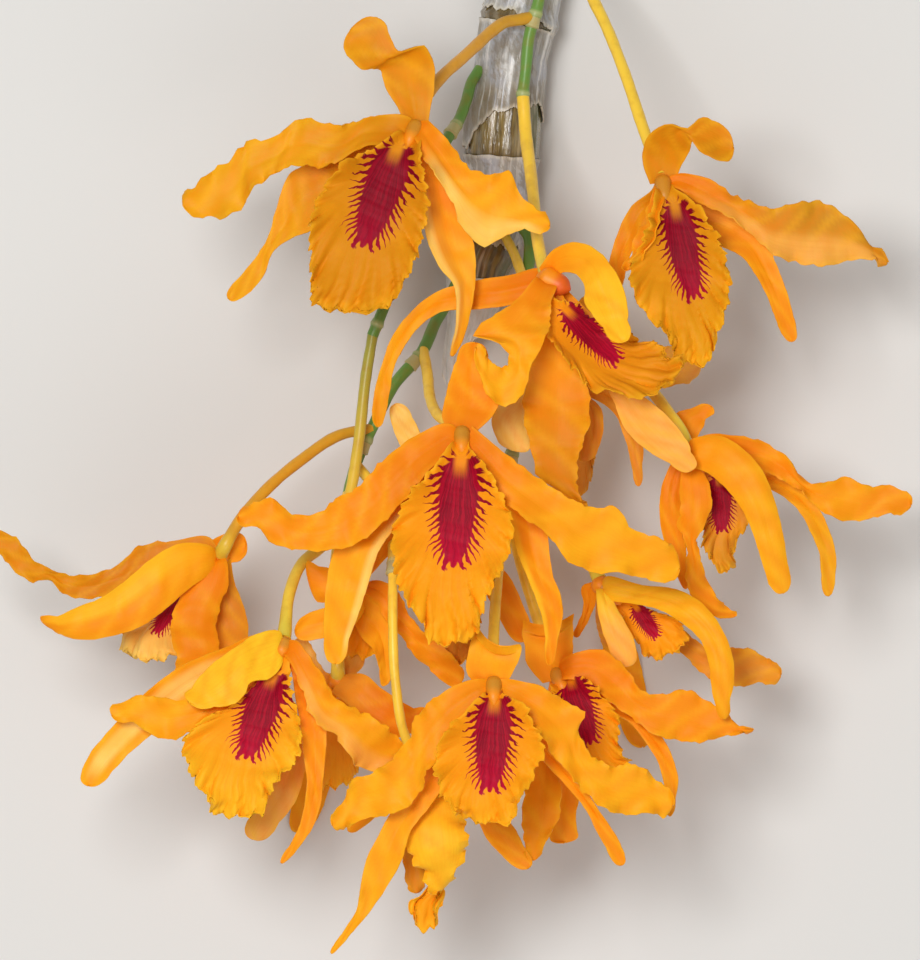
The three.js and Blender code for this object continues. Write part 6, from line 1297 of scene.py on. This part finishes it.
def sheath_paint():
    """Dry papery tissue with fibres along it, stains, pale rims at both ends (the torn hem's own paleness, and
    a painted highlight along the top rim) and a stretch that shows the cane.
    """
    p = Paint("sheath")
    turn, y, hem = p.parts(p.attribute("place", "Vector"))
    wander = p.times(p.noise((turn, p.times(y, 0.05)), 1.0, 1.0), 0.3)
    fibres = p.noise((p.times(p.plus(turn, wander), 5.0), p.times(y, 0.03)), 1.5, 3.0, 0.55)
    fine = p.noise((p.times(turn, 22.0), p.times(y, 0.08), 5.0), 1.8, 3.0, 0.6)
    drift = p.plus(p.times(turn, 1.7), p.times(y, 0.12))
    stain = p.noise((drift, p.times(y, 0.16), 7.0), 1.8, 5.0, 0.65)
    mauve = p.noise((p.times(turn, 1.3), p.times(y, 0.15), 17.0), 1.3)
    colour = p.blend(p.step(fibres, 0.36, 0.66), paint_of(SHEATH_GREY), paint_of(SHEATH_LIGHT))
    colour = p.lay(colour, SHEATH_BLUE, 0.7, p.step(mauve, 0.42, 0.6))
    colour = p.lay(colour, SHEATH_STAIN, 0.6, p.step(stain, 0.47, 0.6))
    colour = p.lay(colour, SHEATH_WHITE, 0.6, p.step(stain, 0.42, 0.34))
    colour = p.lay(colour, SHEATH_LINE, 0.25, p.step(fine, 0.5, 0.7))
    colour = p.lay(colour, SHEATH_RIDGE, 0.5, p.step(fibres, 0.62, 0.7))
    upper = p.step(p.plus(y, p.times(stain, 9.0)), 73.0, 68.0)
    colour = p.lay(colour, SHEATH_CLEAR, 0.75, upper, p.step(y, 57.0, 60.0), p.step(fibres, 0.62, 0.5))
    colour = p.lay(colour, SHEATH_TORN, 0.6, p.step(y, 36.0, 32.0))
    # Both rims are laid pale: the torn hem's own colour, and a painted highlight along the top rim.
    colour = p.lay(colour, SHEATH_HEM_AND_HIGHLIGHT, 0.8, hem, p.step(fine, 0.3, 0.6))
    p.bump(p.plus(p.times(fibres, 0.6), p.times(fine, 0.15), stain), 0.3, 0.0005)
    return p.set(Base_Color=colour, Roughness=0.3, Specular_IOR_Level=0.55)


# ---------- the plant ----------
def build_blooms(paints):
    """The blooms, each with its heart, column and blades."""
    for number, (name, bloom) in enumerate(BLOOMS.items()):
        shape = Shape()
        heart_and_column(shape, bloom, bloom.get("look", {}))
        for k, blade in enumerate(Blade(*row) for row in bloom["blades"]):
            build = lip_blade if blade.kind == "lip" else leaf_blade
            build(shape, blade, bloom["heart"], 100 * number + 11 * k + 3)
        shape.finish(name, paints)


def build_stems(paint):
    """The racemes: each one's stems, with their joints and bracts."""
    for number, (name, stems) in enumerate(RACEMES.items()):
        shape = Shape()
        for k, (to, radii, colours, points) in enumerate(stems):
            points = np.array(points + ([BLOOMS[to]["heart"]] if to else []), float)
            if to:
                points[-1] += unit(points[-2] - points[-1]) * STEM_SHORT
            knots = travel(points)
            at = np.linspace(0, knots[-1], max(12, round(knots[-1] / STEM_STEP)))
            centres = through(points, knots, at)
            t = at / knots[-1]
            radius = radii[0] + (radii[1] - radii[0]) * t + 0.04 * ripple(at, 7, number * 10 + k)
            tone = mixed(linear(colours[0]), linear(colours[1]), ease(t, 0.0, 0.5))
            if to:
                radius *= 1 - 0.08 * ease(t, 0.2, 0.6) + 0.15 * ease(t, 0.85, 1)
                tone = mixed(tone, linear(LIME), 0.6 * ease(t, 0.82, 1.0))
            joints = [share * knots[-1] for share in JOINTS.get((name, k), ())]
            for joint in joints:
                ring = np.exp(-(((at - joint) / JOINT_HALF) ** 2))
                radius += JOINT_RISE * ring
                tone = mixed(tone, linear(JOINT_GREEN), 0.8 * ring)
            add_tube(shape, centres, radius, STEM_SIDES, tone, stacked(t, at, 0))
            for joint in joints:
                add_bract(shape, centres, at, joint, radii[1])
        shape.finish(name, [paint])


def add_bract(shape, centres, at, start, girth):
    """A dry little bract: a collar that opens towards the tip of the stem."""
    span = np.linspace(0, BRACT_LENGTH, BRACT_ROWS)
    middle = np.stack([np.interp(start + span, at, centres[:, k]) for k in range(3)], 1)
    if np.linalg.norm(middle[-1] - middle[-2]) < 0.1:  # the stem ends first
        return
    collar = girth + 0.14 + 0.3 * (span / BRACT_LENGTH) ** 2
    collar[-1] = girth * 0.9
    add_tube(shape, middle, collar, BRACT_SIDES, linear(BRACT), (0, 0, 2))


def cane_row(y):
    """Centre x, radius and the way across at a height along the cane."""
    xs, ys, radii = np.array(CANE, float)[::-1].T
    slope, span = (np.interp(y + 1, ys, a) - np.interp(y - 1, ys, a) for a in (xs, ys))
    return np.interp(y, ys, xs), np.interp(y, ys, radii), unit(stacked(span, -slope, 0))


def build_cane(paint):
    """The ribbed cane, with its flat cut ends."""
    y = subdivided([row[1] for row in CANE], CANE_STEP, 3)[:, None]
    turn = turns(CANE_FINE_SIDES)[None]
    aside, up = np.sin(turn), np.cos(turn)
    x, radius, across = cane_row(y)
    ribs = 0.16 * ripple(turn / (2 * np.pi) * CANE_RIBS, CANE_RIBS / 11, 5, 2)
    ribs += 0.07 * ripple(turn * 6, 1.1, 15)
    girth = radius + CANE_GROWN + ribs * ease(radius, 2, 5)
    grid = stacked(x, y, CANE_HEIGHT) + girth[..., None] * (aside[..., None] * across + up[..., None] * UP)
    grid[..., 2] = np.maximum(grid[..., 2], 0.0)
    node = sum(np.exp(-((y - level) / 0.8) ** 2) for level in CANE_NODES)
    # Round the cane, the place runs on from 1 at a flank to 2 underneath.
    round_cane = np.where(up < 0, np.sign(aside) * (2 - np.abs(aside)), aside)
    shape = Shape()
    shape.add(grid, tube_faces(len(y), CANE_FINE_SIDES), linear(TAN), stacked(round_cane, y, node))
    shape.finish("cane", [paint], sharp=40)


def build_sheath(paint, number, start, flare, hem):
    """A papery sheath, wrapped round the cane's top from start down to the torn hem."""
    def crease(x, pitch, seed):
        return ripple(x, pitch, seed + number)

    t = np.linspace(0, 1, round((start - min(hem)) / SHEATH_STEP))[:, None]
    turn = np.radians(SHEATH_REACH * np.linspace(-1, 1, SHEATH_COLUMNS)[None])
    girth = turn * 6
    hem_turns = np.linspace(-SHEATH_HEM_REACH, SHEATH_HEM_REACH, len(hem))
    end = np.interp(np.degrees(turn), hem_turns, hem)
    tear = 0.5 * crease(girth, 4.5, 40) + 0.22 * crease(girth, 1.1, 60)
    brim = 0.16 * crease(girth, 6.5, 50)
    y = start + (end - start) * t + tear * t**3 + brim * (1 - t) ** 3
    x, radius, across = cane_row(y)
    fold = 0.03 * crease(girth + 0.06 * y, 3.6, 70) + 0.1 * crease(girth - 0.5 * y, 8, 80)
    fold += 0.06 * crease(girth * 0.3 + y, 7, 90) + 0.02 * crease(girth, 1.3, 95)
    reach = radius + SHEATH_GAP + flare * t**2 * (0.5 + 0.7 * crease(girth, 7, 20)) + fold
    reach = np.maximum(reach, radius + SHEATH_LEAST_GAP)
    grid = stacked(x, y, CANE_HEIGHT + np.cos(turn) * reach) + across * (np.sin(turn) * reach)[..., None]
    grid[..., 2] = np.maximum(grid[..., 2], SHEATH_LEAST_HEIGHT)
    # rim marks both ends of the sheath, which the paint lays pale: the torn hem, and a painted highlight along
    # the top rim.
    rim = np.maximum(ease(t, 0.93, 1.0), 1 - ease(t, 0.0, 0.05))
    shape = Shape()
    add_sheet(shape, grid[:, ::-1], SHEATH_THICKNESS, linear(PALE), stacked(turn, y, rim)[:, ::-1])
    shape.finish(f"sheath_{number + 1}", [paint], sharp=60)


# ---------- the picture ----------
def build_stage():
    """A pale floor, soft lights, and a camera that looks straight down."""
    mesh = bpy.data.meshes.new("floor")
    corners = [(x * FLOOR_HALF, y * FLOOR_HALF, 0) for x, y in ((-1, -1), (1, -1), (1, 1), (-1, 1))]
    mesh.from_pydata(corners, [], [(0, 1, 2, 3)])
    paint = Paint("floor").set(Base_Color=paint_of(FLOOR), Roughness=0.85, Specular_IOR_Level=0.2)
    mesh.materials.append(paint)
    floor = placed("floor", mesh)
    floor.location.z = -FLOOR_DROP

    for name, (place, size, power) in LIGHTS.items():
        data = bpy.data.lights.new(name, "AREA")
        data.shape, data.size, data.energy = "DISK", size, power
        lamp = placed(name, data)
        lamp.location = place
        lamp.rotation_euler = (Vector(place) - Vector(LIGHTS_AIM)).to_track_quat("Z", "Y").to_euler()

    world = bpy.data.worlds.new("studio")
    world.use_nodes = True
    world.node_tree.nodes["Background"].inputs["Color"].default_value = STUDIO_LIGHT
    world.node_tree.nodes["Background"].inputs["Strength"].default_value = STUDIO_STRENGTH
    scene = bpy.context.scene
    scene.world = world
    scene.view_settings.view_transform = "Standard"

    camera = bpy.data.cameras.new("camera")
    camera.sensor_fit = "AUTO"
    camera.sensor_width = 36
    camera.lens = camera.sensor_width * CAMERA_FROM / (PHOTO_HEIGHT / PHOTO_SCALE * MM)
    camera.clip_end = 20
    scene.camera = placed("camera", camera)
    scene.camera.location = (SHIFT[0] * MM, SHIFT[1] * MM, FOCUS_HEIGHT * MM + CAMERA_FROM)


build_blooms([petal_paint(), lip_paint(), plain_paint("column", 0.45)])
build_stems(plain_paint("stem", 0.38))
build_cane(cane_paint())
paper = sheath_paint()
for number, row in enumerate(SHEATHS):
    build_sheath(paper, number, *row)
build_stage()
